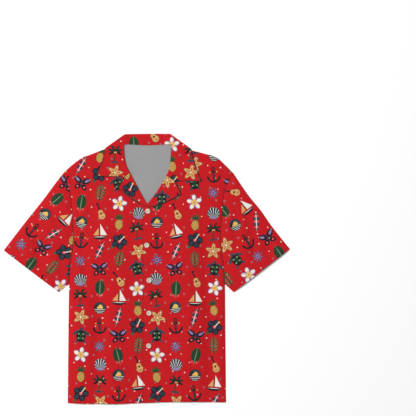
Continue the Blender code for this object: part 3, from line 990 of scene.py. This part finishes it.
def printed_colour(cut):
    """The print over the cut cloth, whose places are in metres: one motif in each cell of a
    half-drop lattice, which motif depending on the cell's column and row."""
    colour = flecked(cut)
    column, row, local = lattice(cut, MOTIF_PITCH)
    kind = Number.maths("FLOORED_MODULO", column * COLUMN_STEP + row + 0.25, float(len(MOTIFS)))
    chance, other_chances = chances(column, row)
    place = turned(shifted(local, other_chances, MOTIF_SHIFT), (chance - 0.5) * MOTIF_TURN)
    place = vectors("MULTIPLY", place, (1 / MOTIF_SIZE, 1 / MOTIF_SIZE, 0))
    for index, motif in enumerate(MOTIFS):
        chosen = Number.maths("COMPARE", kind, index + 0.25, 0.4)
        away = Number.maths("MULTIPLY_ADD", chosen, -FAR_AWAY, FAR_AWAY)
        here = vectors("ADD", place, join(away, 0.0))
        colour = motif(colour, here, petals(here, STAR_POINTS) if motif in STARRED else mirrored(here))
    return colour


def new_material(name, roughness, **settings):
    """A material, and its shader with its plain settings."""
    material = bpy.data.materials.new(name)
    material.use_nodes = True
    Number.tree = material.node_tree
    shader = material.node_tree.nodes["Principled BSDF"]
    shader.inputs["Roughness"].default_value = roughness
    for label, value in settings.items():
        shader.inputs[label.replace("_", " ")].default_value = value
    return material, shader


def texture_noise(place, scale, detail):
    return Number(add_node("TexNoise", place, None, scale, detail))


THREAD_PITCH = 0.0007
WEAVE_STRENGTH = 0.25
WEAVE_DEPTH = 0.00012
FIBRE_SCALE = 900.0
BLOTCH_SCALE = 14.0
BLOTCH_CONTRAST = 0.12
CLOTH_ROUGHNESS = 0.82


def weave(place):
    """The height of a plain weave: threads that pass over and under each other."""
    across, up = split(place)
    turn = 2 * math.pi / THREAD_PITCH
    return Number.maths("SINE", across * turn) * Number.maths("SINE", up * turn)


def shade(colour, amount, strength):
    """A colour made lighter and darker by an amount round a half."""
    tint = Number.maths("MULTIPLY_ADD", amount, strength, 1 - strength / 2)
    return paint(colour, 1.0, join(tint, tint, tint), "MULTIPLY")


def cloth_material(name, sheen, colour_at):
    """Any of the shirt's cloth: its colour at each place with soft blotches, its weave and sheen."""
    material, shader = new_material(
        name, CLOTH_ROUGHNESS, Specular_IOR_Level=0.25, Sheen_Weight=sheen, Sheen_Roughness=0.5,
    )
    place = add_node("UVMap", uv_map="Cut")
    colour = colour_at(place)
    blotches = texture_noise(place, BLOTCH_SCALE, 3.0)
    feed(shader.inputs["Base Color"], shade(colour, blotches, BLOTCH_CONTRAST))
    relief = weave(place) + texture_noise(place, FIBRE_SCALE, 2.0)
    bump = add_node("Bump").node
    bump.inputs["Strength"].default_value = WEAVE_STRENGTH
    bump.inputs["Distance"].default_value = WEAVE_DEPTH
    feed(bump.inputs["Height"], relief)
    feed(shader.inputs["Normal"], bump.outputs[0])
    return material


def grained_material(name, colour, scale, detail, contrast, roughness, stretch=None, **settings):
    """Thread, button, or the dark cords that paint shadow lines: its colour varies with a fine grain."""
    material, shader = new_material(name, roughness, **settings)
    place = add_node("TexCoord").node.outputs["Object"]
    if stretch:
        place = vectors("MULTIPLY", place, stretch)
    feed(shader.inputs["Base Color"], shade(colour, texture_noise(place, scale, detail), contrast))
    return material


PRINT = cloth_material("printed_cloth", 0.08, printed_colour)
REVERSE_SIDE = cloth_material("unprinted_reverse", 0.10, lambda place: REVERSE)
THREAD = grained_material("sewing_thread", THREAD_RED, 700.0, 2.0, 0.4, 0.6, Sheen_Weight=0.2)
BUTTON_THREAD = grained_material("button_thread", THREAD_CREAM, 900.0, 2.0, 0.3, 0.7)
# Painted shade: the material of the dark cords laid where only a shadow line falls.
PAINTED_SHADOW_LINE = grained_material("shadow_line_paint", SHADOW_LINE_MAROON, 500.0, 2.0, 0.4, 0.8, Sheen_Weight=0.1)
BUTTON = grained_material("cream_button", CREAM, 260.0, 4.0, 0.16, 0.28, (1.0, 0.3, 1.0), Coat_Weight=0.25)


# Sewing, and dark cords that paint the shadow lines along edges and seams.

STITCH_PITCH = 3.1
STITCH_LENGTH = 2.3
STITCH_WIDTH = 0.7
STITCH_PROUD = 0.1
EDGE_STITCH = 4.5
# Dark cords of painted shadow line along the collar and lapel edges, the lap edge and the armhole seams.
SHADOW_CORD_RADIUS = 1.1
LAP_SHADOW_CORD_RADIUS = 0.45
LAP_SHADOW_CORD_OFFSET = (-0.5, 0.0, 0.15)
SEAM_SHADOW_CORD_RADIUS = 1.3
SEAM_SHADOW_CORD_END = 0.45
CORD_SIDES = 8
THREAD_SIDES = 6
# How far along a thread each of its rings lies, and its share of the full width there.
THREAD_RINGS = ((-0.5, 0.25), (-0.3, 0.9), (0.0, 1.0), (0.3, 0.9), (0.5, 0.25))
UP = np.array([0.0, 0.0, 1.0])

STITCHES = []
SHADOW_CORDS = []
TACKS = []


def circle(sides):
    """Places round a circle of radius 1."""
    turn = np.arange(sides) * 2 * math.pi / sides
    return np.stack([np.cos(turn), np.sin(turn)], axis=-1)


def rings_round(line, run, up, radii, sides):
    """Rings of corners round a line that runs one way, with another way as up."""
    side = np.cross(run, up)
    around = circle(sides) @ np.stack([side, np.broadcast_to(up, side.shape)], axis=-2)
    return line[:, None] + np.reshape(radii, (-1, 1, 1)) * around


def thread(centre, run, up, length, width):
    """A short thread, fat in the middle."""
    part, size = np.array(THREAD_RINGS).T
    return rings_round(centre + part[:, None] * run * length, run, up, size * width / 2, THREAD_SIDES)


def cord(line, radii):
    """A round cord along a line of places."""
    run = unit(np.gradient(line, axis=0))
    up = np.cross(unit(np.cross(run, UP)), run)
    return rings_round(line, run, up, radii * np.ones(len(line)), CORD_SIDES)


def join_tubes(name, tubes, material):
    """Closed tubes joined into one piece: each is a grid of corners, ring by ring."""
    points = []
    faces = []
    for rings in tubes:
        ids = len(points) + np.arange(rings.shape[0] * rings.shape[1]).reshape(rings.shape[:2])
        points.extend(rings.reshape(-1, 3).tolist())
        faces.extend(quads(close_ring(ids)).reshape(-1, 4).tolist())
        faces.extend([ids[0].tolist(), ids[-1, ::-1].tolist()])
    piece = new_piece(name, to_frame(points), faces, material)
    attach(piece, "root")


def sew(grid, inset, face=1.0, thickness=CLOTH):
    """Stitches at a distance from the first column of a grid, on the cloth's upper or lower face."""
    line = np.array([at_distance(row, inset) for row in grid])
    reach = lengths_along(line)[-1]
    count = max(int(reach / STITCH_PITCH), 1)
    middles = (np.arange(count) + 0.5) / count * reach
    ends = [at_distance(line, middles + half) for half in (-STITCH_LENGTH / 2, STITCH_LENGTH / 2)]
    runs = unit(ends[1] - ends[0])
    lifted = at_distance(line, middles) + UP * face * (thickness / 2 + STITCH_PROUD)
    for centre, run in zip(lifted, runs):
        up = unit(UP * face - run * (run @ UP * face))
        STITCHES.append(thread(centre, run, up, STITCH_LENGTH, STITCH_WIDTH))


def turned_over(grid):
    """A grid whose last row has become its first column."""
    return grid[::-1].transpose(1, 0, 2)


# The pieces of cloth.

def cut_places(places, grain=0.0, origin=(0.0, 0.0), sign=1):
    """Places on the cut cloth, in metres, whose grain is turned from the shirt's own. The sign
    mirrors the cut from one side of the shirt to the other."""
    cosine, sine = math.cos(math.radians(sign * grain)), math.sin(math.radians(sign * grain))
    across, up = places[..., 0], places[..., 1]
    turned_places = np.stack([across * cosine - up * sine, across * sine + up * cosine], axis=-1)
    return turned_places * MM + np.array([sign * origin[0], origin[1]])


def outer_edge(side, steps):
    """A panel's edge from the hem up its side seam and its armhole."""
    foot = side["side_seam"][0][0]
    side_seam = curve(((foot, hem_height(foot)),) + side["side_seam"][1:])
    return chain(steps, (0.0, side_seam), (UNDERARM_ROW, curve(side["armhole"])))


FRONT_STEPS = (62, 186)
NECK_SETBACK = 2.4


def front_edge(side, steps, lap):
    """A front's edge from the hem up its lap and along the neck."""
    neck = curve(side["roll_line"] + side["roll_collar"][1:] + (side["neck_point"],))
    neck = beside(neck, -side["sign"] * NECK_SETBACK)
    corner = (lap, LAP_CORNER)
    return chain(
        steps,
        (0.0, curve(((lap, hem_height(lap)), corner))),
        (LAP_CORNER_ROW, curve((corner, tuple(neck[0])))),
        (BREAK_ROW, neck),
    )


def make_front(side, name, lap):
    across = fine_steps(FRONT_STEPS[0], (0.0,), 0.012)
    up = fine_steps(FRONT_STEPS[1], (1.0, HEM_ROW), 0.008)
    outer = outer_edge(side, up)
    inner = front_edge(side, up, lap)
    bottom = along(hem_line(outer[0][0], inner[0][0]), across)
    top = along(curve(side["shoulder"] + (tuple(inner[-1]),)), across)
    places = patch(bottom, top, outer, inner, across, up)
    hem_gap = places[..., 1] - places[:, :1, 1]
    middle = with_height(places, front_height(side, places) + hem_turn(hem_gap, BODY_HEM))
    sew(middle, BODY_HEM)
    if side is LEFT:
        lap_rows = up < LAP_CORNER_ROW
        # A thin dark cord along the lap's edge paints its shadow line.
        SHADOW_CORDS.append(cord(middle[-1, lap_rows] + np.array(LAP_SHADOW_CORD_OFFSET), LAP_SHADOW_CORD_RADIUS))
        sew(turned_over(middle[:, lap_rows]), EDGE_STITCH)
        middle, places = middle[::-1], places[::-1]
    piece = shell(name, middle, cut_places(places), CLOTH, (PRINT, REVERSE_SIDE))
    plan_area(places)


BACK_STEPS = (96, 110)
BACK_NECK_START = 0.34
BACK_ORIGIN = (0.026, 0.013)


def make_back():
    across, up = (fine_steps(count) for count in BACK_STEPS)
    right, left = (outer_edge(side, up) for side in (RIGHT, LEFT))
    bottom = along(hem_line(right[0][0], left[0][0]), across)
    top = chain(
        across,
        (0.0, curve(RIGHT["shoulder"] + (RIGHT["neck_point"],))),
        (BACK_NECK_START, curve(BACK_NECK)),
        (1 - BACK_NECK_START, curve(LEFT["shoulder"] + (LEFT["neck_point"],))[::-1]),
    )
    places = patch(bottom, top, right, left, across, up)
    arches = folds_at(BACK_FOLDS, places) + BACK_RIPPLE * (1 + waves(places, BACK_SEED, RIPPLE_LENGTH))
    inside = rising(np.minimum(*[nearest_seam(seams, places) for seams in FRONT_SEAMS.values()]), PUFF_REACH)
    height = BACK_LEVEL + raised(places) + arches * inside * (1 - ease(places[..., 1], CHEST_FADE))
    middle = with_height(places, height)
    sew(middle, BODY_HEM, face=-1.0)
    cut = cut_places(places, 0.0, BACK_ORIGIN)
    piece = shell("back", middle, cut, CLOTH, (REVERSE_SIDE, PRINT))
    plan_area(places)


SLEEVE_STEPS = (62, 70)
SLEEVE_GRAIN = -37.0
SLEEVE_ORIGIN = (0.013, 0.02)
UNDERSIDE_SHIFT = 0.35
SLEEVE_SETBACK = 0.2


def sleeve_fold(edge, next_to_it, high):
    """Points round a fold from the back's level to a higher one, whose outside just reaches the edge."""
    radius = (high - BACK_LEVEL) / 2
    inward = unit(next_to_it - edge)
    points = []
    for angle in np.radians((-75, -45, -15, 15, 45, 75)):
        plan = edge + inward * (CLOTH / 2 + radius * (1 - math.cos(angle)))
        points.append(with_height(plan, np.full(len(plan), BACK_LEVEL + radius * (1 + math.sin(angle)))))
    return np.stack(points, axis=1)


def with_cuff(path, fractions):
    """Places along a sleeve's edge, the last of them over the depth of its hem."""
    cuff = SLEEVE_HEM / lengths_along(path)[-1]
    return along(path, np.interp(fractions, (0, CUFF_ROW, 1), (0, 1 - cuff, 1)))


def make_sleeve(side, name):
    """A flattened tube, folded along its outer edge and seamed under the arm."""
    sign = side["sign"]
    along_sleeve = fine_steps(SLEEVE_STEPS[0], (0.0, CUFF_ROW), 0.02)
    round_it = fine_steps(SLEEVE_STEPS[1])
    armhole = beside(curve(side["armhole"]), -sign * SLEEVE_SETBACK)
    hem_low, hem_tip = side["underarm"][-1], side["sleeve_fold"][-1]
    underarm = with_cuff(curve((tuple(armhole[0]), hem_low)), along_sleeve)
    fold = with_cuff(curve((tuple(armhole[-1]),) + side["sleeve_fold"][1:]), along_sleeve)
    start = along(armhole, round_it)
    end = along(curve((hem_low, hem_tip)), round_it)
    places = patch(underarm, fold, start, end, along_sleeve, round_it)
    inner = places[:, 1:-1]
    gap = nearest_seam(SLEEVE_SEAMS[sign], inner)
    shape = folds_at(SLEEVE_FOLDS, inner) + surface_waves(inner, gap, SLEEVE_SEED + sign)
    rise = np.maximum(rising(gap, PUFF_REACH) * (SLEEVE_PUFF - SEAM_RISE + shape), 0)
    cuff = hem_turn(nearest_on(end, inner)[0], SLEEVE_HEM) * rising(gap, SEAM_REACH)
    upper = with_height(inner, FRONT_LEVEL + seam_roll(gap) + rise + cuff)
    ripple = UNDERSIDE_RIPPLE * (1 + waves(inner, UNDERSIDE_SEED + sign, RIPPLE_LENGTH))
    lower = with_height(inner, BACK_LEVEL + ripple * rising(gap, PUFF_REACH))
    level = FRONT_LEVEL - SEAM_SINK
    under_turn = sleeve_fold(places[:, 0], places[:, 1], level)
    outer_turn = sleeve_fold(places[:, -1], places[:, -2], level)
    sew(turned_over(upper), SLEEVE_HEM)
    sew(turned_over(lower), SLEEVE_HEM, face=-1.0)
    middle = np.concatenate([under_turn, upper, outer_turn[:, ::-1], lower[:, ::-1]], axis=1)
    cut = cut_places(middle[..., :2], SLEEVE_GRAIN, SLEEVE_ORIGIN, sign)
    cut[:, -lower.shape[1]:, 0] += UNDERSIDE_SHIFT
    if sign < 0:
        middle, cut = middle[::-1], cut[::-1]
    # A dark cord in the armhole seam paints its shadow line, thickest under the arm.
    seam_line = with_height(start, np.full(len(start), level + CLOTH / 2))
    SHADOW_CORDS.append(cord(seam_line, SEAM_SHADOW_CORD_RADIUS + (SEAM_SHADOW_CORD_END - SEAM_SHADOW_CORD_RADIUS) * round_it))
    piece = shell(name, middle, cut, CLOTH, (PRINT, REVERSE_SIDE), ring=True)
    2 * plan_area(places)


ROLL_RADIUS = 1.7
EDGE_LIFT = 2.2
GORGE_GAP = 0.3
LAPEL_STEPS = (72, 36)
LAPEL_GRAIN = 14.0
LAPEL_ORIGIN = (0.018, 0.052)


def rolled_edge(edge, inward, height, drop):
    """Points of a roll that turns an edge down over the cloth beneath it."""
    points = []
    for angle in np.radians((-20, 5, 30, 60, 90)):
        plan = edge + inward * (DOUBLE_CLOTH / 2 + ROLL_RADIUS * (1 - math.cos(angle)))
        points.append(with_height(plan, height(plan) - drop * ROLL_RADIUS * (1 - math.sin(angle))))
    return np.stack(points, axis=1)


def make_facing(side, name):
    """The turned-out lapel, rolled over the front's edge."""
    sign = side["sign"]
    stations = fine_steps(LAPEL_STEPS[0])
    rows = np.linspace(0, 1, LAPEL_STEPS[1])[1:]
    notch, gorge = (
        (across - sign * GORGE_GAP, up - GORGE_GAP) for across, up in (side["notch"], side["roll_line"][-1])
    )
    edge = along(curve(side["roll_line"][:-1] + (gorge,)), stations)
    free = chain(
        stations,
        (0.0, curve(side["lapel_edge"])),
        (LAPEL_POINT_STATION, curve((side["lapel_edge"][-1], notch))),
    )

    def height(places):
        return front_height(side, places) + LAYER

    roll = rolled_edge(edge, unit(free - edge), height, 1.0)
    places = between(roll[:, -1, :2], free, rows)
    lift = EDGE_LIFT * rows ** 4 * ease(stations, (0.0, 0.2))[:, None]
    middle = np.concatenate([roll, with_height(places, height(places) + lift)], axis=1)
    sew(middle[:, ::-1], EDGE_STITCH, thickness=DOUBLE_CLOTH)
    # Dark cords along the lapel's free edge and its notch paint their shadow line.
    point = np.searchsorted(stations, LAPEL_POINT_STATION)
    for part in (slice(1, point + 1), slice(point, None)):
        SHADOW_CORDS.append(cord(middle[part, -1], SHADOW_CORD_RADIUS))
    if side is LEFT:
        middle = middle[::-1]
    cut = cut_places(middle[..., :2], LAPEL_GRAIN, LAPEL_ORIGIN, sign)
    piece = shell(name, middle, cut, DOUBLE_CLOTH, (PRINT, PRINT))
    plan_area(middle[..., :2])


COLLAR_STEPS = (230, 42, 15)
COLLAR_ORIGIN = (0.011, 0.024)
WRAP_REACH = 0.012
FALL_LEVEL = DOUBLE_CLOTH / 2 + 0.25
SMALLEST_TURN = 0.35
EDGE_TUCK = 0.4


def collar_line(stations, first, second, middle):
    """A line from the right point to the left one, through two lines of each side and a middle one."""
    return chain(
        stations,
        (0.0, curve(RIGHT[first])),
        (SHOULDER_STATION, curve(RIGHT[second])),
        (BAND_STATION, curve(middle)),
        (1 - BAND_STATION, curve(LEFT[second])[::-1]),
        (1 - SHOULDER_STATION, curve(LEFT[first])[::-1]),
    )


def gorge_pull(stations, rows):
    """What moves the ends of the collar's grid onto the lines from its corners to its points."""
    moves = np.zeros((len(stations), len(rows), 2))
    for reach, side in ((stations, RIGHT), (1 - stations, LEFT)):
        pull = np.clip(1 - reach / SHOULDER_STATION, 0, 1) ** 2
        corner, point = side["roll_collar"][0], side["collar_edge"][0]
        gorge = chain(rows, (0.0, curve((corner, side["notch"]))), (NOTCH_ROW, curve((side["notch"], point))))
        moves += pull[:, None, None] * (gorge - between(np.array([corner]), np.array([point]), rows))
    return moves


def collar_turn(edge, inward, radius):
    """Points round the collar's top, from its upper cloth to the cloth beneath it."""
    points = []
    for angle in np.radians((60, 30, 0, -30, -60, -90)):
        plan = edge[:, :2] - inward * (radius * math.cos(angle))[:, None]
        points.append(with_height(plan, edge[:, 2] - radius * (1 - math.sin(angle))))
    return np.stack(points, axis=1)


def trim_collar(top, middle, stations, rows):
    """The dark cords that paint the shadow line and the stitches along the collar's ends, and the stitches on
    its fall behind the neck.
    """
    free_ends = stations < SHOULDER_STATION - 0.01
    gorge = rows > NOTCH_ROW
    for half in (top, top[::-1]):
        SHADOW_CORDS.append(cord(half[free_ends, -1], SHADOW_CORD_RADIUS))
        SHADOW_CORDS.append(cord(half[0, gorge], SHADOW_CORD_RADIUS))
        sew(half[free_ends, ::-1], EDGE_STITCH, thickness=DOUBLE_CLOTH)
        sew(half[free_ends][:, gorge].transpose(1, 0, 2), EDGE_STITCH, thickness=DOUBLE_CLOTH)
    behind = np.abs(stations - 0.5) < 0.5 - SHOULDER_STATION - 0.02
    sew(middle[behind, ::-1], EDGE_STITCH, -1.0, DOUBLE_CLOTH)


def unfolded(middle, fold, end, inward):
    """Places in plan, with all beyond the column of the fold laid out flat."""
    beyond = lengths_along(middle)[:, fold:]
    beyond = beyond - beyond[:, :1]
    return np.concatenate([middle[:, :fold, :2], end[:, None] - inward[:, None] * beyond[..., None]], axis=1)


def make_collar():
    """One band from point to point: it lies over the fronts, and folds down behind the neck."""
    stations = fine_steps(COLLAR_STEPS[0])
    rows, under_rows = (np.linspace(0, 1, count)[1:] for count in COLLAR_STEPS[1:])
    inner = collar_line(stations, "roll_collar", "neck_corner", NECK_SEAM)
    outer = collar_line(stations, "collar_edge", "collar_fold", COLLAR_TOP)
    inward = unit(inner - outer)
    wrap = (SHOULDER_STATION - WRAP_REACH, SHOULDER_STATION + WRAP_REACH)
    wrapped = ease(np.minimum(stations, 1 - stations), wrap)
    radius = wrapped * (collar_height(outer) - FALL_LEVEL) / 2
    end = outer + inward * (radius + DOUBLE_CLOTH / 2)[:, None]
    roll = rolled_edge(inner, -inward, collar_height, 1 - ease(inner[:, 1], BAND_UP))
    places = between(roll[:, -1, :2], end, rows) + gorge_pull(stations, rows)
    lift = EDGE_LIFT * (1 - wrapped)[:, None] * rows ** 5
    top = with_height(places, collar_height(places) + lift)
    turn = collar_turn(top[:, -1], inward, np.maximum(radius, SMALLEST_TURN))
    fall = along(curve(FALL_EDGE), (stations - SHOULDER_STATION) / (1 - 2 * SHOULDER_STATION))
    tucked = end + inward * EDGE_TUCK
    under = between(turn[:, -1, :2], tucked + wrapped[:, None] * (fall - tucked), under_rows)
    level = turn[:, -1, 2:] * np.ones(len(under_rows))
    middle = np.concatenate([roll, top, turn, with_height(under, level)], axis=1)
    trim_collar(top, middle, stations, rows)
    flat = unfolded(middle, roll.shape[1] + top.shape[1] - 1, end, inward)
    piece = shell("collar", middle, cut_places(flat, 0.0, COLLAR_ORIGIN), DOUBLE_CLOTH, (PRINT, PRINT))
    plan_area(middle[..., :2])


# Buttons.

BUTTON_COUNT = 5
BUTTON_SIDES = 48
BUTTON_PROFILE = (
    (0.0, 1.5), (3.9, 1.5), (4.7, 1.65), (5.3, 2.2), (5.8, 2.65), (6.4, 2.8), (7.0, 2.6), (7.4, 2.1),
    (7.5, 1.4), (7.3, 0.7), (6.6, 0.15), (5.4, 0.0), (0.0, 0.0),
)
HOLE_REACH = 2.1
HOLE_RADIUS = 0.95
HOLE_SIDES = 16
BUTTONHOLE = 18.0
BUTTON_TURN = 17.0
BUTTON_SHARP = 35.0
DRILL_REACH = (5, -2)
TACK_HEIGHT = 1.75
TACK_SIZE = (4.4, 1.1)
HOLE_LEVEL = -0.25
HOLE_STITCH_PITCH = 0.8
HOLE_STITCH_SIZE = (1.7, 0.75)
HOLE_HALF = 0.95
BAR_TACK_SIZE = (3.8, 1.2)
BAR_TACK_REACH = BUTTONHOLE / 2 + 0.6


def turned_solid(profile, sides):
    """A closed solid turned round its own axis, in millimetres."""
    points = [(0.0, 0.0, profile[0][1])]
    for radius, height in profile[1:-1]:
        points.extend((*place, height) for place in (radius * circle(sides)).tolist())
    points.append((0.0, 0.0, profile[-1][1]))
    ids = close_ring(1 + np.arange(len(points) - 2).reshape(-1, sides))
    faces = quads(ids).reshape(-1, 4).tolist()
    for turn in range(sides):
        faces.append((0, int(ids[0, turn]), int(ids[0, turn + 1])))
        faces.append((len(points) - 1, int(ids[-1, turn + 1]), int(ids[-1, turn])))
    return new_piece("blank", points, faces)


def drilled_button():
    """The points and faces of one button with its four holes."""
    blank = turned_solid(BUTTON_PROFILE, BUTTON_SIDES)
    high, low = DRILL_REACH
    drills = []
    for quarter in range(4):
        drill = turned_solid(((0, high), (HOLE_RADIUS, high), (HOLE_RADIUS, low), (0, low)), HOLE_SIDES)
        angle = math.radians(45 + 90 * quarter)
        move = (HOLE_REACH * math.cos(angle), HOLE_REACH * math.sin(angle), 0)
        drill.data.transform(Matrix.Translation(move))
        drills.append(drill)
        cutting = blank.modifiers.new("holes", "BOOLEAN")
        cutting.operation = "DIFFERENCE"
        cutting.solver = "EXACT"
        cutting.object = drill
    bpy.context.view_layer.update()
    made = blank.evaluated_get(bpy.context.evaluated_depsgraph_get()).to_mesh()
    points = np.array([vertex.co for vertex in made.vertices])
    faces = [tuple(polygon.vertices) for polygon in made.polygons]
    for solid in (blank, *drills):
        bpy.data.objects.remove(solid)
    return points, faces


BUTTON_POINTS, BUTTON_FACES = drilled_button()


def make_button(number):
    """A four-hole button where its solid lies, its sewing thread and the buttonhole beneath it."""
    name = f"button_{number}"
    low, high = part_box(name)
    middle = np.array([(low[0] + high[0]) / 2, (low[1] + high[1]) / 2, low[2]])
    turn = math.radians(BUTTON_TURN * number)
    twist = np.array([[math.cos(turn), math.sin(turn), 0], [-math.sin(turn), math.cos(turn), 0], [0, 0, 1]])
    piece = new_piece(name, BUTTON_POINTS @ twist * MM + middle, BUTTON_FACES, BUTTON)
    piece.data.set_sharp_from_angle(angle=math.radians(BUTTON_SHARP))
    dress(piece, name)
    centre = (middle - np.array([*SHIRT_ORIGIN, 0.0])) / MM
    across, along_hole = np.eye(3)[:2]
    for offset in (-1, 1):
        place = np.array([0.0, offset * HOLE_REACH * math.sqrt(0.5), TACK_HEIGHT])
        TACKS.append(thread(centre + place @ twist, across @ twist, UP, *TACK_SIZE))
    base = centre + UP * HOLE_LEVEL
    for step in np.arange(-BUTTONHOLE / 2, BUTTONHOLE / 2 + 0.1, HOLE_STITCH_PITCH):
        for offset in (-HOLE_HALF, HOLE_HALF):
            STITCHES.append(thread(base + across * offset + along_hole * step, across, UP, *HOLE_STITCH_SIZE))
    for reach in (-BAR_TACK_REACH, BAR_TACK_REACH):
        STITCHES.append(thread(base + along_hole * reach, across, UP, *BAR_TACK_SIZE))


# The floor, the light and the camera.

FLOOR_REACH = 30.0


def make_floor():
    corners = [(-1, -1, 0), (1, -1, 0), (1, 1, 0), (-1, 1, 0)]
    material = new_material("pale_floor", 0.9, Specular_IOR_Level=0.1, Base_Color=FLOOR_COLOUR)[0]
    new_piece("floor", np.array(corners) * FLOOR_REACH, [(0, 1, 2, 3)], material)


def area_light(name, place, size, power):
    """A soft light that points at the middle of the frame."""
    light = bpy.data.lights.new(name, "AREA")
    light.size = size
    light.energy = power
    lamp = bpy.data.objects.new(name, light)
    lamp.location = place
    lamp.rotation_euler = (-Vector(place)).to_track_quat("-Z", "Y").to_euler()
    bpy.context.scene.collection.objects.link(lamp)


def make_light():
    world = bpy.data.worlds.new("studio")
    world.use_nodes = True
    Number.tree = world.node_tree
    above = add_node("TexCoord").node.outputs["Generated"]
    height = Number(add_node("SeparateXYZ", above, output=2))
    lift = Number.maths("MULTIPLY", height, HORIZON_HEIGHT, clamp=True)
    background = world.node_tree.nodes["Background"]
    strength = Number.maths("MULTIPLY_ADD", lift, ZENITH_LIGHT - HORIZON_LIGHT, HORIZON_LIGHT)
    feed(background.inputs["Strength"], strength)
    background.inputs["Color"].default_value = (1.0, 1.0, 1.0, 1.0)
    bpy.context.scene.world = world
    for light in LIGHTS:
        area_light(*light)
    bpy.context.scene.view_settings.view_transform = "Standard"


# The photograph is 416 pixels wide at 3.0 mm to a pixel. The shirt's centre line and its hem
# lie at these pixels of it.
FRAME_PIXELS = 416
PIXEL = 3.0
CENTRE_LINE_PIXEL = 147.5
HEM_PIXEL = 402.5
CAMERA_HEIGHT = 3.2
SENSOR_WIDTH = 36.0


def make_camera():
    camera = bpy.data.cameras.new("camera")
    camera.sensor_width = SENSOR_WIDTH
    camera.lens = SENSOR_WIDTH * CAMERA_HEIGHT / (FRAME_PIXELS * PIXEL * MM)
    camera.clip_end = 100.0
    eye = bpy.data.objects.new("camera", camera)
    across = (FRAME_PIXELS / 2 - CENTRE_LINE_PIXEL) * PIXEL
    up = (HEM_PIXEL - FRAME_PIXELS / 2) * PIXEL
    eye.location = (*to_frame((across, up, 0.0))[:2], CAMERA_HEIGHT)
    bpy.context.scene.collection.objects.link(eye)
    bpy.context.scene.camera = eye


make_camera()
make_floor()
make_light()
make_back()
make_front(RIGHT, "front_right", UNDERLAP_EDGE)
make_front(LEFT, "front_left", LAP_EDGE)
make_facing(RIGHT, "facing_right")
make_facing(LEFT, "facing_left")
make_sleeve(RIGHT, "sleeve_right")
make_sleeve(LEFT, "sleeve_left")
make_collar()
for number in range(1, BUTTON_COUNT + 1):
    make_button(number)
join_tubes("stitches", STITCHES, THREAD)
# Dark cords that paint the shadow lines along edges and seams.
join_tubes("painted_shadow_cords", SHADOW_CORDS, PAINTED_SHADOW_LINE)
join_tubes("button_threads", TACKS, BUTTON_THREAD)
